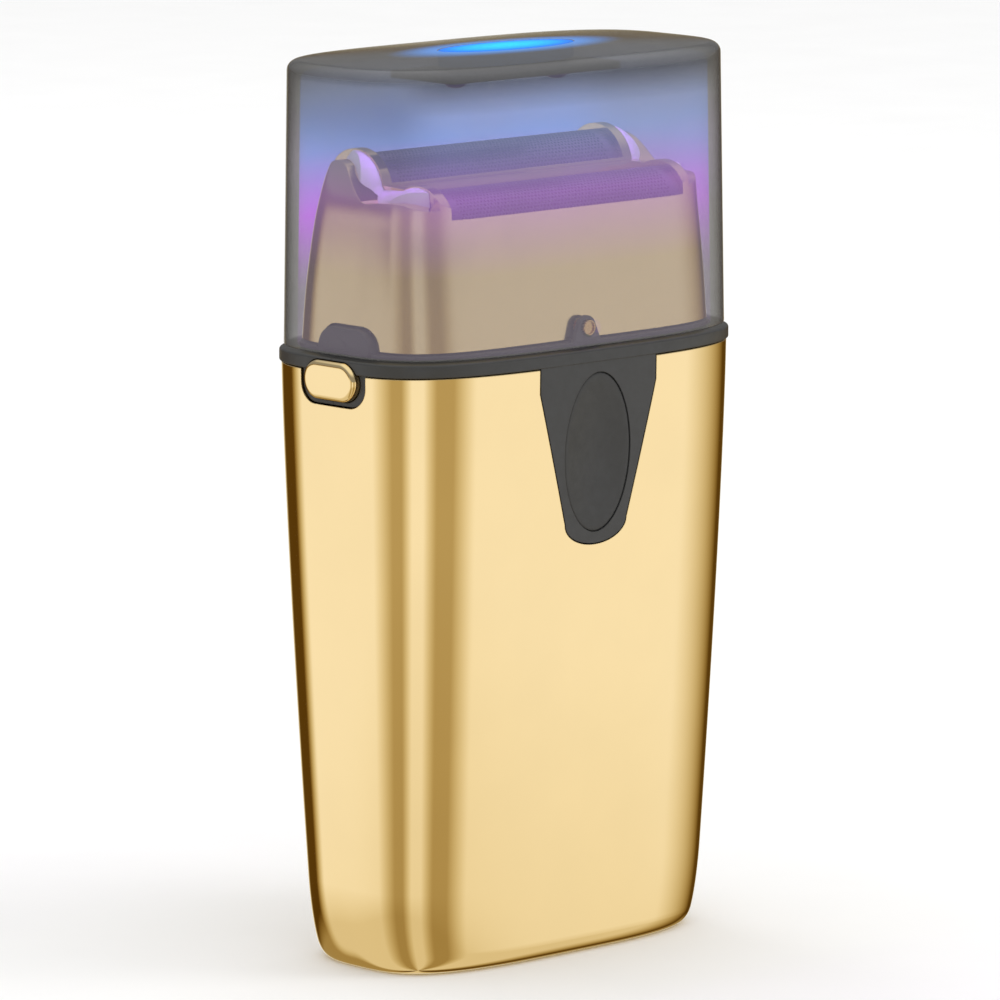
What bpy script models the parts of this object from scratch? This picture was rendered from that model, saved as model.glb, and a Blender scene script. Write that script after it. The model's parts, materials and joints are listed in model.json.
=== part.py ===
"""Cordless twin-foil shaver with a clear light-up cap, modelled as an assembly of separate pieces.

The object stands on its base, +Z up, origin in the middle of the base. X is the width, and the
thumb switch faces -Y. Lengths below are millimetres; MM turns them into Blender's metres.
"""
import math

import bmesh
import bpy
from mathutils import Matrix, Vector

MM = 0.001
GAP = 0.3                    # clearance between neighbouring solids
RING_POINTS = 36             # corners in one ring of a lofted shell

# Handle: a superellipse section that narrows towards the base
HOUSING_TOP = 79.2
TAPER_TOP = 79.5
TAPER_DEPTH = 77.0
TAPER_POWER = 1.33
TOP_HALF = (31.8, 17.9)
TAPER_LOSS = (3.15, 3.7)
BASE_ROUND_RADIUS = (2.2, 1.9)
BASE_ROUND_HEIGHT = (11.0, 2.3)
HANDLE_POWER = 3.3
HOUSING_WALL = 1.6
FLOOR_TOP = 2.4
FLOOR_OPENING = (22.3, 9.5)
BASE_SCREW_X = 17.0

# Collar between handle and shaving head
COLLAR_HALF = (31.9, 18.0)
COLLAR_BOTTOM = 79.5
COLLAR_SHOULDER = 81.3
COLLAR_TOP = 82.8
LEDGE_HALF = (29.4, 15.7)
COLLAR_BORE = (27.4, 13.7)
SKIRT_HALF = (29.2, 15.4)
SKIRT_BOTTOM = 76.5
COLLAR_POWER = 3.4
PLATE_DEPTH = 2.2            # thickness of the black plate let into the housing
PLATE_TIP = 55.5
PLATE_TIP_HALF = 5.4
PLATE_TIP_TANGENT = 58.4
PLATE_HIP_HALF = 10.3
PLATE_HIP = 76.2
BEZEL_HALF = 5.9
BEZEL_BOTTOM = 74.8
BEZEL_CORNER = 2.6
BEZEL_SINK = 0.35            # how far a button's surround lies below the handle's surface
COLLAR_OVERLAP = 0.9         # how far the plate and the surrounds run up into the collar
COLLAR_EDGE = 0.3
BOSS_HALF = 5.1
BOSS_TOP = 85.1
BOSS_CORNER = 2.9
TAB_HALF = 2.8
TAB_TIP = 1.8
TAB_FACES = (15.6, 14.8)
CONTACT_HEIGHT = 83.8

# Controls
SWITCH_HALF = (5.6, 10.3)
SWITCH_CENTRE = 67.6
SWITCH_DISH = 0.7
BUTTON_HALF = (4.75, 2.6)
BUTTON_CENTRE = (-1.0, 78.1)
BUTTON_FACE = 31.8

# Shaving head; each arch is the y, z of a foil's cylinder axis
HEAD_POWER = 4.4
HEAD_WALL = 1.4
FRONT_ARCH = (-7.3, 97.9)
REAR_ARCH = (4.75, 101.8)
RIM_RADIUS = 5.5
FOIL_RADIUS = 4.7
FOIL_THICKNESS = 0.25
SLOT_HALF = 4.95
CUTTER_RADIUS = 4.15
FOIL_HALF_LENGTH = 21.0
FOIL_SKIRT = 4.6             # how far a foil's flanks reach below its axis
WALL_LIP = 1.4               # how far the head's walls rise above a foil's axis
RIB_TOP = 103.4
RIM_BAND = (21.3, 24.3)

# Cap
CAP_BOTTOM = 81.6
CAP_TOP = 119.6
CAP_WALL = 1.6
CAP_HALF_LOW = (31.3, 17.6)
CAP_HALF_HIGH = (31.5, 16.0)
CAP_EDGE = 1.4
CAP_CROWN = 0.6
WINDOW_HALF = (11.4, 4.6)

# Drive
MOTOR_RADIUS = 10.0
MOTOR_FLAT = 7.7
MOTOR_SPAN = (44.0, 71.0)
MOTOR_SCREW_X = 6.5
DECK_SCREW_X = 14.0
ECCENTRIC_OFFSET = 0.9
PIN_RADIUS = 1.2
PIN_TOP = 86.9
BRIDGE_SPAN = (85.2, 87.8)
BRIDGE_HOLE = 3.4
POST_X = 12.0
POST_DROP = 6.2              # from a foil's axis down to the top of a bridge post
BLADE_COUNT = 8
BATTERY_AXIS = (-18.2, 0.0)
BATTERY_RADIUS = 7.0
BATTERY_SPAN = (8.2, 58.2)

MATERIALS = {
    "gold": ((0.83, 0.62, 0.27), 0.12, 1.0),
    "black_plastic": ((0.06, 0.06, 0.065), 0.45, 0.0),
    "smoke_clear": ((0.35, 0.34, 0.38), 0.08, 0.0),
    "steel": ((0.62, 0.62, 0.64), 0.28, 1.0),
    "foil_steel": ((0.55, 0.53, 0.68), 0.3, 1.0),
    "brass": ((0.78, 0.58, 0.25), 0.3, 1.0),
    "pale_plastic": ((0.82, 0.80, 0.84), 0.5, 0.0),
    "grey_plastic": ((0.28, 0.29, 0.31), 0.5, 0.0),
    "rubber": ((0.03, 0.03, 0.03), 0.8, 0.0),
    "board_green": ((0.03, 0.22, 0.10), 0.45, 0.0),
    "battery_wrap": ((0.06, 0.22, 0.42), 0.35, 0.0),
    "glow_blue": ((0.05, 0.45, 1.0), 0.2, 0.0),
    "led_lens": ((0.75, 0.72, 0.95), 0.15, 0.0),
}

for old in list(bpy.data.objects):
    bpy.data.objects.remove(old)
for collection_name in ("foil_shaver", "cutters"):
    bpy.context.scene.collection.children.link(bpy.data.collections.new(collection_name))
PARTS = bpy.data.collections["foil_shaver"]
CUTTERS = bpy.data.collections["cutters"]


# ---------------------------------------------------------------- objects and materials

def material(name):
    """The named material, made on first use as a Principled BSDF."""
    found = bpy.data.materials.get(name)
    if found:
        return found
    colour, roughness, metallic = MATERIALS[name]
    made = bpy.data.materials.new(name)
    made.use_nodes = True
    shader = made.node_tree.nodes["Principled BSDF"]
    shader.inputs["Base Color"].default_value = (*colour, 1.0)
    shader.inputs["Roughness"].default_value = roughness
    shader.inputs["Metallic"].default_value = metallic
    return made


def add_object(name, data, look=None):
    """Links a part, or a cutter when it has no material."""
    obj = bpy.data.objects.new(name, data)
    if look:
        PARTS.objects.link(obj)
        data.materials.append(material(look))
    else:
        CUTTERS.objects.link(obj)
        obj.hide_render = True
        obj.display_type = "WIRE"
    return obj


def from_bmesh(name, form, look):
    mesh = bpy.data.meshes.new(name)
    bmesh.ops.recalc_face_normals(form, faces=form.faces)
    form.to_mesh(mesh)
    form.free()
    return add_object(name, mesh, look)


def smooth(obj, degrees=35):
    obj.data.shade_smooth()
    obj.data.set_sharp_from_angle(angle=math.radians(degrees))
    return obj


def combine(target, other, operation="DIFFERENCE", solver="EXACT"):
    """Adds a Boolean with another object, which then only serves as its cutter."""
    if other.name in PARTS.objects:
        PARTS.objects.unlink(other)
        CUTTERS.objects.link(other)
        other.hide_render = True
        other.display_type = "WIRE"
    step = target.modifiers.new(other.name, "BOOLEAN")
    step.operation = operation
    step.object = other
    step.solver = solver
    return target


# ---------------------------------------------------------------- outlines

def superellipse(half_x, half_y, power, count=RING_POINTS, centre=(0.0, 0.0)):
    points = []
    for i in range(count):
        angle = 2 * math.pi * i / count
        c, s = math.cos(angle), math.sin(angle)
        points.append((centre[0] + half_x * math.copysign(abs(c) ** (2 / power), c),
                       centre[1] + half_y * math.copysign(abs(s) ** (2 / power), s)))
    return points


def arc(centre, radius, start, end, steps):
    """Points on an arc, angles in degrees, both ends included."""
    angles = [math.radians(start + (end - start) * i / steps) for i in range(steps + 1)]
    return [(centre[0] + radius * math.cos(a), centre[1] + radius * math.sin(a)) for a in angles]


def oblong(centre, half_long, half_short, steps=8):
    """A slot outline with round ends, long along the first axis."""
    reach = half_long - half_short
    return (arc((centre[0] + reach, centre[1]), half_short, -90, 90, steps)
            + arc((centre[0] - reach, centre[1]), half_short, 90, 270, steps))


def rounded_top(half, bottom, top, radius, steps=4):
    """An upright outline with square bottom corners and round top ones."""
    return ([(-half, bottom), (half, bottom)]
            + arc((half - radius, top - radius), radius, 0, 90, steps)
            + arc((radius - half, top - radius), radius, 90, 180, steps))


# ---------------------------------------------------------------- solids

def block(name, low, high, look=None):
    form = bmesh.new()
    bmesh.ops.create_cube(form, size=1.0)
    size = [(h - l) * MM for l, h in zip(low, high)]
    middle = [(h + l) / 2 * MM for l, h in zip(low, high)]
    bmesh.ops.scale(form, vec=size, verts=form.verts)
    bmesh.ops.translate(form, vec=middle, verts=form.verts)
    return from_bmesh(name, form, look)


def rod(name, radius, start, end, centre=(0.0, 0.0), axis="Z", sides=24, look=None):
    """A cylinder along an axis; centre holds the other two coordinates in X, Y, Z order."""
    form = bmesh.new()
    bmesh.ops.create_cone(form, cap_ends=True, segments=sides, radius1=radius * MM,
                          radius2=radius * MM, depth=(end - start) * MM)
    middle = (start + end) / 2
    turn, place = {
        "Z": (Matrix.Identity(3), (centre[0], centre[1], middle)),
        "Y": (Matrix.Rotation(math.pi / 2, 3, "X"), (centre[0], middle, centre[1])),
        "X": (Matrix.Rotation(math.pi / 2, 3, "Y"), (middle, centre[0], centre[1])),
    }[axis]
    bmesh.ops.rotate(form, cent=(0, 0, 0), matrix=turn, verts=form.verts)
    bmesh.ops.translate(form, vec=Vector(place) * MM, verts=form.verts)
    return from_bmesh(name, form, look)


def slab(name, outline, plane, start, end, look=None):
    """A flat outline in the XY, XZ or YZ plane, given thickness along the third axis."""
    curve = bpy.data.curves.new(name, "CURVE")
    curve.dimensions = "2D"
    curve.fill_mode = "BOTH"
    curve.extrude = (end - start) / 2 * MM
    spline = curve.splines.new("POLY")
    spline.points.add(len(outline) - 1)
    for point, (u, v) in zip(spline.points, outline):
        point.co = (u * MM, v * MM, 0.0, 1.0)
    spline.use_cyclic_u = True
    drawn = bpy.data.objects.new(name, curve)
    CUTTERS.objects.link(drawn)
    middle = (start + end) / 2 * MM
    place = {
        "XY": Matrix.Translation((0, 0, middle)),
        "XZ": Matrix.Translation((0, middle, 0)) @ Matrix.Rotation(math.pi / 2, 4, "X"),
        "YZ": (Matrix.Translation((middle, 0, 0)) @ Matrix.Rotation(math.pi / 2, 4, "Z")
               @ Matrix.Rotation(math.pi / 2, 4, "X")),
    }[plane]
    bpy.context.view_layer.update()
    mesh = bpy.data.meshes.new_from_object(drawn.evaluated_get(bpy.context.evaluated_depsgraph_get()))
    bpy.data.objects.remove(drawn)
    form = bmesh.new()
    form.from_mesh(mesh)
    bpy.data.meshes.remove(mesh)
    bmesh.ops.remove_doubles(form, verts=form.verts, dist=MM * 0.001)
    bmesh.ops.transform(form, matrix=place, verts=form.verts)
    return from_bmesh(name, form, look)


def loft(name, rings, look=None, chain=False):
    """Joins level rings of (points, z), as skinned does."""
    return skinned(name, [[(x, y, z) for x, y in points] for points, z in rings], look, chain)


def skinned(name, rings, look=None, chain=False):
    """Joins rings of 3-D points with quads. A chain closes on itself; otherwise the ends are capped."""
    form = bmesh.new()
    made = [[form.verts.new(Vector(point) * MM) for point in points] for points in rings]
    pairs = list(zip(made, made[1:]))
    if chain:
        pairs.append((made[-1], made[0]))
    for lower, upper in pairs:
        for i in range(len(lower)):
            j = (i + 1) % len(lower)
            form.faces.new((lower[i], lower[j], upper[j], upper[i]))
    if not chain:
        form.faces.new(made[0])
        form.faces.new(made[-1])
    return from_bmesh(name, form, look)


def turned(name, profile, centre, look, steps=24):
    """A profile of (radius, z), from the axis down the outer side, turned about the vertical."""
    mesh = bpy.data.meshes.new(name)
    corners = [(r * MM, 0.0, z * MM) for r, z in profile]
    mesh.from_pydata(corners, [(i, i + 1) for i in range(len(corners) - 1)], [])
    obj = add_object(name, mesh, look)
    obj.location = (centre[0] * MM, centre[1] * MM, 0.0)
    spin = obj.modifiers.new("turn", "SCREW")
    spin.axis = "Z"
    spin.steps = steps
    spin.render_steps = steps
    spin.use_merge_vertices = True
    spin.merge_threshold = MM * 0.01
    spin.use_normal_calculate = False
    return obj


def coil(name, radius, wire, turns, start, end, place, axis, look="steel", steps=9):
    """A compression spring as a round wire, wound along Z and turned to its axis."""
    curve = bpy.data.curves.new(name, "CURVE")
    curve.dimensions = "3D"
    curve.bevel_depth = wire / 2 * MM
    curve.bevel_resolution = 0
    curve.use_fill_caps = True
    spline = curve.splines.new("POLY")
    count = int(turns * steps)
    spline.points.add(count)
    for i, point in enumerate(spline.points):
        angle = 2 * math.pi * i / steps
        along = start + wire / 2 + (end - start - wire) * i / count
        spot = (radius * math.cos(angle), radius * math.sin(angle), along)
        if axis == "X":
            spot = (along, spot[0], spot[1])
        point.co = (*[(s + p) * MM for s, p in zip(spot, place)], 1.0)
    drawn = bpy.data.objects.new(name, curve)
    CUTTERS.objects.link(drawn)
    bpy.context.view_layer.update()
    mesh = bpy.data.meshes.new_from_object(drawn.evaluated_get(bpy.context.evaluated_depsgraph_get()))
    bpy.data.objects.remove(drawn)
    form = bmesh.new()
    form.from_mesh(mesh)
    bpy.data.meshes.remove(mesh)
    bmesh.ops.remove_doubles(form, verts=form.verts, dist=MM * 0.001)
    return smooth(from_bmesh(name, form, look))


# ---------------------------------------------------------------- handle shell

def handle_half(z, inset=0.0):
    """Half width and half depth of the handle's outside at a height, less an inset."""
    fall = (max(TAPER_TOP - z, 0.0) / TAPER_DEPTH) ** TAPER_POWER
    halves = []
    for top, loss, radius, height in zip(TOP_HALF, TAPER_LOSS, BASE_ROUND_RADIUS, BASE_ROUND_HEIGHT):
        below = min(max((height - z) / height, 0.0), 1.0)
        rounding = radius * (1 - math.sqrt(1 - below * below))
        halves.append(top - loss * fall - rounding - inset)
    return halves


def handle_ring(z, inset=0.0):
    return superellipse(*handle_half(z, inset), HANDLE_POWER), z


def make_housing():
    outside = [0.0, 0.25, 1.0, 2.6, 5.0, 8.5, 14.0, 24.0, 38.0, 52.0, 66.0, HOUSING_TOP]
    inside = [HOUSING_TOP, 52.0, 24.0, 9.0, FLOOR_TOP]
    rings = [handle_ring(z) for z in outside]
    rings += [handle_ring(z, HOUSING_WALL) for z in inside]
    rings += [(superellipse(*FLOOR_OPENING, HANDLE_POWER), z) for z in (FLOOR_TOP, 0.0)]
    housing = loft("body_housing", rings, "gold", chain=True)
    combine(housing, slab("plate_notch", plate_outline(GAP), "XZ", -25.0, -8.0))
    for side in (-1, 1):
        reach = sorted((side * 24.0, side * 35.0))
        combine(housing, slab("bezel_notch", bezel_outline(GAP), "YZ", *reach))
    return smooth(housing)


def plate_outline(grow=0.0):
    """The tapering black plate around the thumb switch, from the collar to its rounded tip."""
    hip, tip = PLATE_HIP_HALF + grow, PLATE_TIP_HALF + grow
    rise = PLATE_TIP_TANGENT - PLATE_TIP
    tip_curve = []
    for x, z in arc((0.0, 0.0), 1.0, 180, 360, 8):
        tip_curve.append((tip * x, PLATE_TIP_TANGENT + (rise + grow) * z))
    top = COLLAR_BOTTOM + COLLAR_OVERLAP
    return tip_curve + [(hip, PLATE_HIP), (hip, top), (-hip, top), (-hip, PLATE_HIP)]


def bezel_outline(grow=0.0):
    """The U-shaped black surround of a release button, open into the collar above it."""
    half, radius = BEZEL_HALF + grow, BEZEL_CORNER + grow
    low = BEZEL_BOTTOM - grow
    top = COLLAR_BOTTOM + COLLAR_OVERLAP
    centre = BUTTON_CENTRE[0]
    return (arc((centre - half + radius, low + radius), radius, 180, 270, 5)
            + arc((centre + half - radius, low + radius), radius, 270, 360, 5)
            + [(centre + half, top), (centre - half, top)])


def boss_outline(bottom, grow=0.0):
    """The rounded upstand over a release button, seen from the end."""
    outline = rounded_top(BOSS_HALF + grow, bottom, BOSS_TOP + grow, BOSS_CORNER)
    return [(y + BUTTON_CENTRE[0], z) for y, z in outline]


def skin(name, low, high, depth, proud=0.0):
    """A closed band that follows the handle's outside, for cutting flush plates from."""
    levels = [low + (high - low) * i / 6 for i in range(7)]
    rings = [handle_ring(z, -proud) for z in levels]
    rings += [handle_ring(z, depth) for z in (high, low)]
    return loft(name, rings, chain=True)


def make_collar():
    rings = [(COLLAR_HALF, COLLAR_BOTTOM), (COLLAR_HALF, COLLAR_SHOULDER - COLLAR_EDGE),
             ([h - COLLAR_EDGE for h in COLLAR_HALF], COLLAR_SHOULDER), (LEDGE_HALF, COLLAR_SHOULDER),
             (LEDGE_HALF, COLLAR_TOP - COLLAR_EDGE), ([h - COLLAR_EDGE for h in LEDGE_HALF], COLLAR_TOP),
             (COLLAR_BORE, COLLAR_TOP), (COLLAR_BORE, SKIRT_BOTTOM), (SKIRT_HALF, SKIRT_BOTTOM),
             (SKIRT_HALF, COLLAR_BOTTOM)]
    collar = loft("collar", [(superellipse(*half, COLLAR_POWER), z) for half, z in rings],
                  "black_plastic", chain=True)
    plate = skin("plate_skin", PLATE_TIP - 1.5, COLLAR_BOTTOM + 0.7, PLATE_DEPTH)
    combine(plate, slab("plate_form", plate_outline(), "XZ", -25.0, -8.0), "INTERSECT")
    combine(collar, plate, "UNION")
    for side in (-1, 1):
        reach = sorted((side * 24.0, side * 35.0))
        bezel = skin("bezel_skin", BEZEL_BOTTOM - 1.0, COLLAR_BOTTOM + 0.7, PLATE_DEPTH, -BEZEL_SINK)
        combine(bezel, slab("bezel_form", bezel_outline(), "YZ", *reach), "INTERSECT")
        combine(collar, bezel, "UNION")
        combine(collar, slab("boss", boss_outline(COLLAR_TOP - 0.8), "YZ",
                             *sorted((side * 27.7, side * (LEDGE_HALF[0] - 0.1)))), "UNION")
        hole = oblong(BUTTON_CENTRE, BUTTON_HALF[0] + 0.25, BUTTON_HALF[1] + 0.2)
        combine(collar, slab("button_hole", hole, "YZ", *reach), solver="MANIFOLD")
    for side in (-1, 1):
        faces = sorted(side * face for face in TAB_FACES)
        tab = slab("tab", [(-TAB_HALF, COLLAR_TOP - 0.8), (TAB_HALF, COLLAR_TOP - 0.8)]
                   + arc((0.0, CONTACT_HEIGHT), TAB_TIP, 15, 165, 10), "XZ", *faces)
        combine(collar, tab, "UNION")
        combine(collar, rod("tab_hole", 1.3, *sorted((side * 14.0, side * 17.0)),
                            centre=(0.0, CONTACT_HEIGHT), axis="Y", sides=16))
    opening = superellipse(SWITCH_HALF[0] + GAP, SWITCH_HALF[1] + GAP, 2.0, 32, (0.0, SWITCH_CENTRE))
    combine(collar, slab("switch_opening", opening, "XZ", -25.0, -8.0), solver="MANIFOLD")
    return smooth(collar)


def make_base():
    outline = superellipse(FLOOR_OPENING[0] - GAP, FLOOR_OPENING[1] - GAP, HANDLE_POWER)
    cover = loft("base_cover", [(outline, z) for z in (0.35, 2.1)], "black_plastic")
    combine(cover, rod("socket_hole", 4.5, -1.0, 5.0))
    for name, x in (("base_screw_left", -BASE_SCREW_X), ("base_screw_right", BASE_SCREW_X)):
        combine(cover, rod(name + "_hole", 1.2, -1.0, 5.0, (x, 0.0), sides=16))
        combine(cover, rod(name + "_sink", 2.1, -1.0, 1.65, (x, 0.0), sides=20))
        screw(name, x, 0.0, head=1.8, shank=0.8, span=(1.35, 0.5, 4.9))
    smooth(cover)
    profile = [(0.0, 11.5), (4.2, 11.5), (4.2, 0.35), (2.8, 0.35), (2.8, 9.5),
               (0.8, 9.5), (0.8, 1.2), (0.0, 0.9)]
    smooth(turned("charging_socket", profile, (0.0, 0.0), "black_plastic"))


def screw(name, x, y, head, shank, span):
    """A cross-head screw. span is its head's inner face, head's outer face and tip, along Z."""
    seat, outer, tip = span
    body = rod(name, head, *sorted((seat, outer)), (x, y), sides=20, look="steel")
    overlap = 0.1 if outer > seat else -0.1
    combine(body, rod(name + "_shank", shank, *sorted((seat + overlap, tip)), (x, y), sides=12), "UNION")
    depth = outer + (-0.5 if outer > seat else 0.5)
    far = outer + (0.5 if outer > seat else -0.5)
    for i, half in enumerate(((head * 0.6, 0.22), (0.22, head * 0.6))):
        low, high = sorted((depth, far))
        combine(body, block(f"{name}_drive{i}", (x - half[0], y - half[1], low),
                            (x + half[0], y + half[1], high)))
    return smooth(body)


# ---------------------------------------------------------------- controls

def make_power_switch():
    """An oval thumb pad with a shallow dish, and the plunger behind it."""
    rings = []
    steps = ((1.0, 4.3), (1.0, 0.36), (0.96, 0.0), (0.8, 0.43), (0.6, 0.71), (0.35, 0.93), (0.12, 1.0))
    for scale, share in steps:
        outline = superellipse(SWITCH_HALF[0] * scale, SWITCH_HALF[1] * scale, 2.0, 32, (0.0, SWITCH_CENTRE))
        rings.append([(x, switch_face(x, z, share * SWITCH_DISH), z) for x, z in outline])
    pad = skinned("power_switch", rings, "black_plastic")
    combine(pad, rod("plunger", 1.6, -14.8, -12.9, (0.0, SWITCH_CENTRE), "Y", 16), "UNION")
    return smooth(pad, 50)


def switch_face(x, z, inward):
    """The y of the handle's front surface at a point, moved inward."""
    half_x, half_y = handle_half(z)
    return -half_y * (1 - (abs(x) / half_x) ** HANDLE_POWER) ** (1 / HANDLE_POWER) + inward


def make_release_buttons():
    centre_y, centre_z = BUTTON_CENTRE
    for name, side in (("left", -1), ("right", 1)):
        rings = []
        for scale, face in ((1.0, 28.9), (1.0, BUTTON_FACE - 0.5), (0.93, BUTTON_FACE - 0.18),
                            (0.75, BUTTON_FACE - 0.04), (0.4, BUTTON_FACE)):
            outline = oblong(BUTTON_CENTRE, BUTTON_HALF[0] - BUTTON_HALF[1] * (1 - scale),
                             BUTTON_HALF[1] * scale)
            rings.append([(side * face, y, z) for y, z in outline])
        button = skinned(f"{name}_release_button", rings, "gold")
        stem_low, stem_high = sorted((side * 25.0, side * 29.3))
        combine(button, block(f"{name}_stem", (stem_low, centre_y - 2.0, centre_z - 1.6),
                              (stem_high, centre_y + 2.0, centre_z + 1.4)), "UNION")
        hook_low, hook_high = sorted((side * 25.0, side * 26.2))
        combine(button, block(f"{name}_hook", (hook_low, centre_y - 1.9, centre_z - 1.5),
                              (hook_high, centre_y + 1.9, 84.3)), "UNION")
        smooth(button)
        spring_low, spring_high = sorted((side * 20.9, side * 24.7))
        coil(f"{name}_button_spring", 1.35, 0.4, 4.0, spring_low, spring_high,
             (0.0, centre_y, centre_z), "X")


# ---------------------------------------------------------------- inside the handle

def make_chassis():
    outline = [(-14.0, 3.0), (14.0, 3.0), (16.0, 12.0), (16.0, 78.3), (-16.0, 78.3), (-16.0, 12.0)]
    plate = slab("chassis", outline, "XZ", 10.2, 11.6, "grey_plastic")
    foot = loft("chassis_foot", [(superellipse(20.0, 11.0, HANDLE_POWER), z) for z in (3.0, 4.6)])
    combine(plate, foot, "UNION")
    combine(plate, rod("foot_bore", 4.6, 0.0, 8.0))
    for x in (-BASE_SCREW_X, BASE_SCREW_X):
        combine(plate, rod("foot_screw_bore", 1.15, 0.0, 8.0, (x, 0.0), sides=16))
    for z in (5.2, 59.9):
        shelf = rod("battery_shelf", 7.3, z, z + 1.5, BATTERY_AXIS)
        combine(plate, shelf, "UNION")
        combine(plate, block("shelf_arm", (-17.5, 1.0, z + 0.05), (-11.5, 10.6, z + 1.45)), "UNION")
    combine(plate, block("motor_saddle", (-8.0, -7.0, 38.0), (8.0, 10.6, 39.6)), "UNION")
    flange = loft("chassis_flange", [(superellipse(25.5, 12.4, HANDLE_POWER), z) for z in (78.0, 79.6)])
    combine(plate, flange, "UNION")
    combine(plate, rod("flange_bore", 5.6, 77.0, 81.0))
    for side in (-1, 1):
        low, high = sorted((side * 18.8, side * 30.0))
        combine(plate, block("flange_notch", (low, BUTTON_CENTRE[0] - 3.3, 77.0),
                              (high, BUTTON_CENTRE[0] + 3.3, 81.0)))
        combine(plate, rod("flange_screw_bore", 1.2, 77.0, 81.0, (side * DECK_SCREW_X, 0.0), sides=16))
    return smooth(plate)


def make_power():
    low, high = BATTERY_SPAN
    profile = [(0.0, high), (2.4, high), (2.4, high - 1.1), (BATTERY_RADIUS - 0.5, high - 1.1),
               (BATTERY_RADIUS, high - 1.7), (BATTERY_RADIUS, low + 0.4),
               (BATTERY_RADIUS - 0.4, low), (0.0, low)]
    smooth(turned("battery", profile, BATTERY_AXIS, "battery_wrap"))
    for name, start in (("battery_contact_bottom", low - 1.1), ("battery_contact_top", high + GAP)):
        rod(name, 3.0, start, start + 0.7, BATTERY_AXIS, sides=16, look="brass")
    board = block("circuit_board", (-12.0, -10.8, 20.0), (20.0, -9.8, 76.0), "board_green")
    chips = (((-9.0, 25.0), (-3.0, 31.0)), ((3.0, 24.0), (14.0, 29.0)), ((12.0, 40.0), (18.0, 52.0)),
             ((-10.0, 44.0), (-4.0, 48.0)), ((12.0, 58.0), (17.0, 66.0)))
    for (x0, z0), (x1, z1) in chips:
        combine(board, block("chip", (x0, -11.9, z0), (x1, -10.7, z1)), "UNION")
    block("switch_module", (-4.2, -12.0, SWITCH_CENTRE - 5.5), (4.2, -11.1, SWITCH_CENTRE + 5.5),
          "grey_plastic")


def make_motor():
    low, high = MOTOR_SPAN
    can = rod("motor_can", MOTOR_RADIUS, low, high, sides=40, look="steel")
    flats = block("motor_flats", (-12.0, -MOTOR_FLAT, low - 1), (12.0, MOTOR_FLAT, high + 1))
    combine(can, flats, "INTERSECT")
    combine(can, rod("shaft_bore", 1.3, high - 4.0, high + 1.0, sides=16))
    for side in (-1, 1):
        combine(can, rod("motor_thread", 1.1, high - 3.0, high + 1.0, (side * MOTOR_SCREW_X, 0.0), sides=16))
    smooth(can)
    end_cap = rod("motor_end_cap", 9.7, low - 2.8, low - GAP, sides=32, look="pale_plastic")
    inner_flat = MOTOR_FLAT - 0.3
    flats = block("end_cap_flats", (-12.0, -inner_flat, low - 5), (12.0, inner_flat, low + 1))
    combine(end_cap, flats, "INTERSECT")
    smooth(end_cap)
    mount = loft("motor_mount", [(superellipse(11.5, 8.6, 5.0, 32), z) for z in (high + GAP, high + 2.0)],
                 "black_plastic")
    combine(mount, rod("mount_bore", 2.2, high - 1.0, high + 4.0))
    for name, side in (("left", -1), ("right", 1)):
        x = side * MOTOR_SCREW_X
        combine(mount, rod("mount_screw_bore", 1.1, high - 1.0, high + 4.0, (x, 0.0), sides=16))
        span = (high + 2.0 + GAP, high + 3.3, high - 2.6)
        screw(f"motor_screw_{name}", x, 0.0, head=1.5, shank=0.8, span=span)
    smooth(mount)


def make_eccentric_shaft():
    low, high = MOTOR_SPAN
    shaft = rod("eccentric_shaft", 1.0, high - 3.7, high + 4.3, sides=20, look="steel")
    combine(shaft, rod("cam_disc", 3.9, high + 4.2, high + 6.6, sides=28), "UNION")
    pin = rod("drive_pin", PIN_RADIUS, high + 6.5, PIN_TOP, (ECCENTRIC_OFFSET, 0.0), sides=20)
    combine(shaft, pin, "UNION")
    return smooth(shaft)


def make_deck():
    outline = superellipse(26.9, 13.2, COLLAR_POWER)
    deck = loft("drive_deck", [(outline, z) for z in (80.0, 82.0)], "black_plastic")
    combine(deck, rod("deck_bore", 3.6, 78.0, 84.0))
    for name, side in (("left", -1), ("right", 1)):
        low, high = sorted((side * 19.4, side * 20.6))
        combine(deck, block("spring_lug", (low, BUTTON_CENTRE[0] - 2.2, 76.0),
                             (high, BUTTON_CENTRE[0] + 2.2, 80.1)), "UNION")
        low, high = sorted((side * 23.2, side * 30.0))
        combine(deck, block("hook_slot", (low, BUTTON_CENTRE[0] - 2.5, 79.0),
                             (high, BUTTON_CENTRE[0] + 2.5, 83.0)))
        combine(deck, rod("deck_screw_bore", 1.2, 78.0, 84.0, (side * DECK_SCREW_X, 0.0), sides=16))
        screw(f"deck_screw_{name}", side * DECK_SCREW_X, 0.0, head=1.7, shank=0.9, span=(82.3, 83.3, 77.6))
    smooth(deck)
    profile = [(2.7, 84.4), (3.3, 84.4), (3.5, 83.6), (5.6, 83.2), (5.6, 82.3), (2.7, 82.3)]
    rings = [(superellipse(r, r, 2.0, 28), z) for r, z in reversed(profile)]
    smooth(loft("drive_seal", rings, "rubber", chain=True))
    for name, side in (("front", -1), ("rear", 1)):
        span = sorted((side * 14.9, side * 15.85))
        rod(f"{name}_contact_pin", 1.0, *span, centre=(0.0, CONTACT_HEIGHT), axis="Y", sides=20, look="brass")


# ---------------------------------------------------------------- cutting parts

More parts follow.
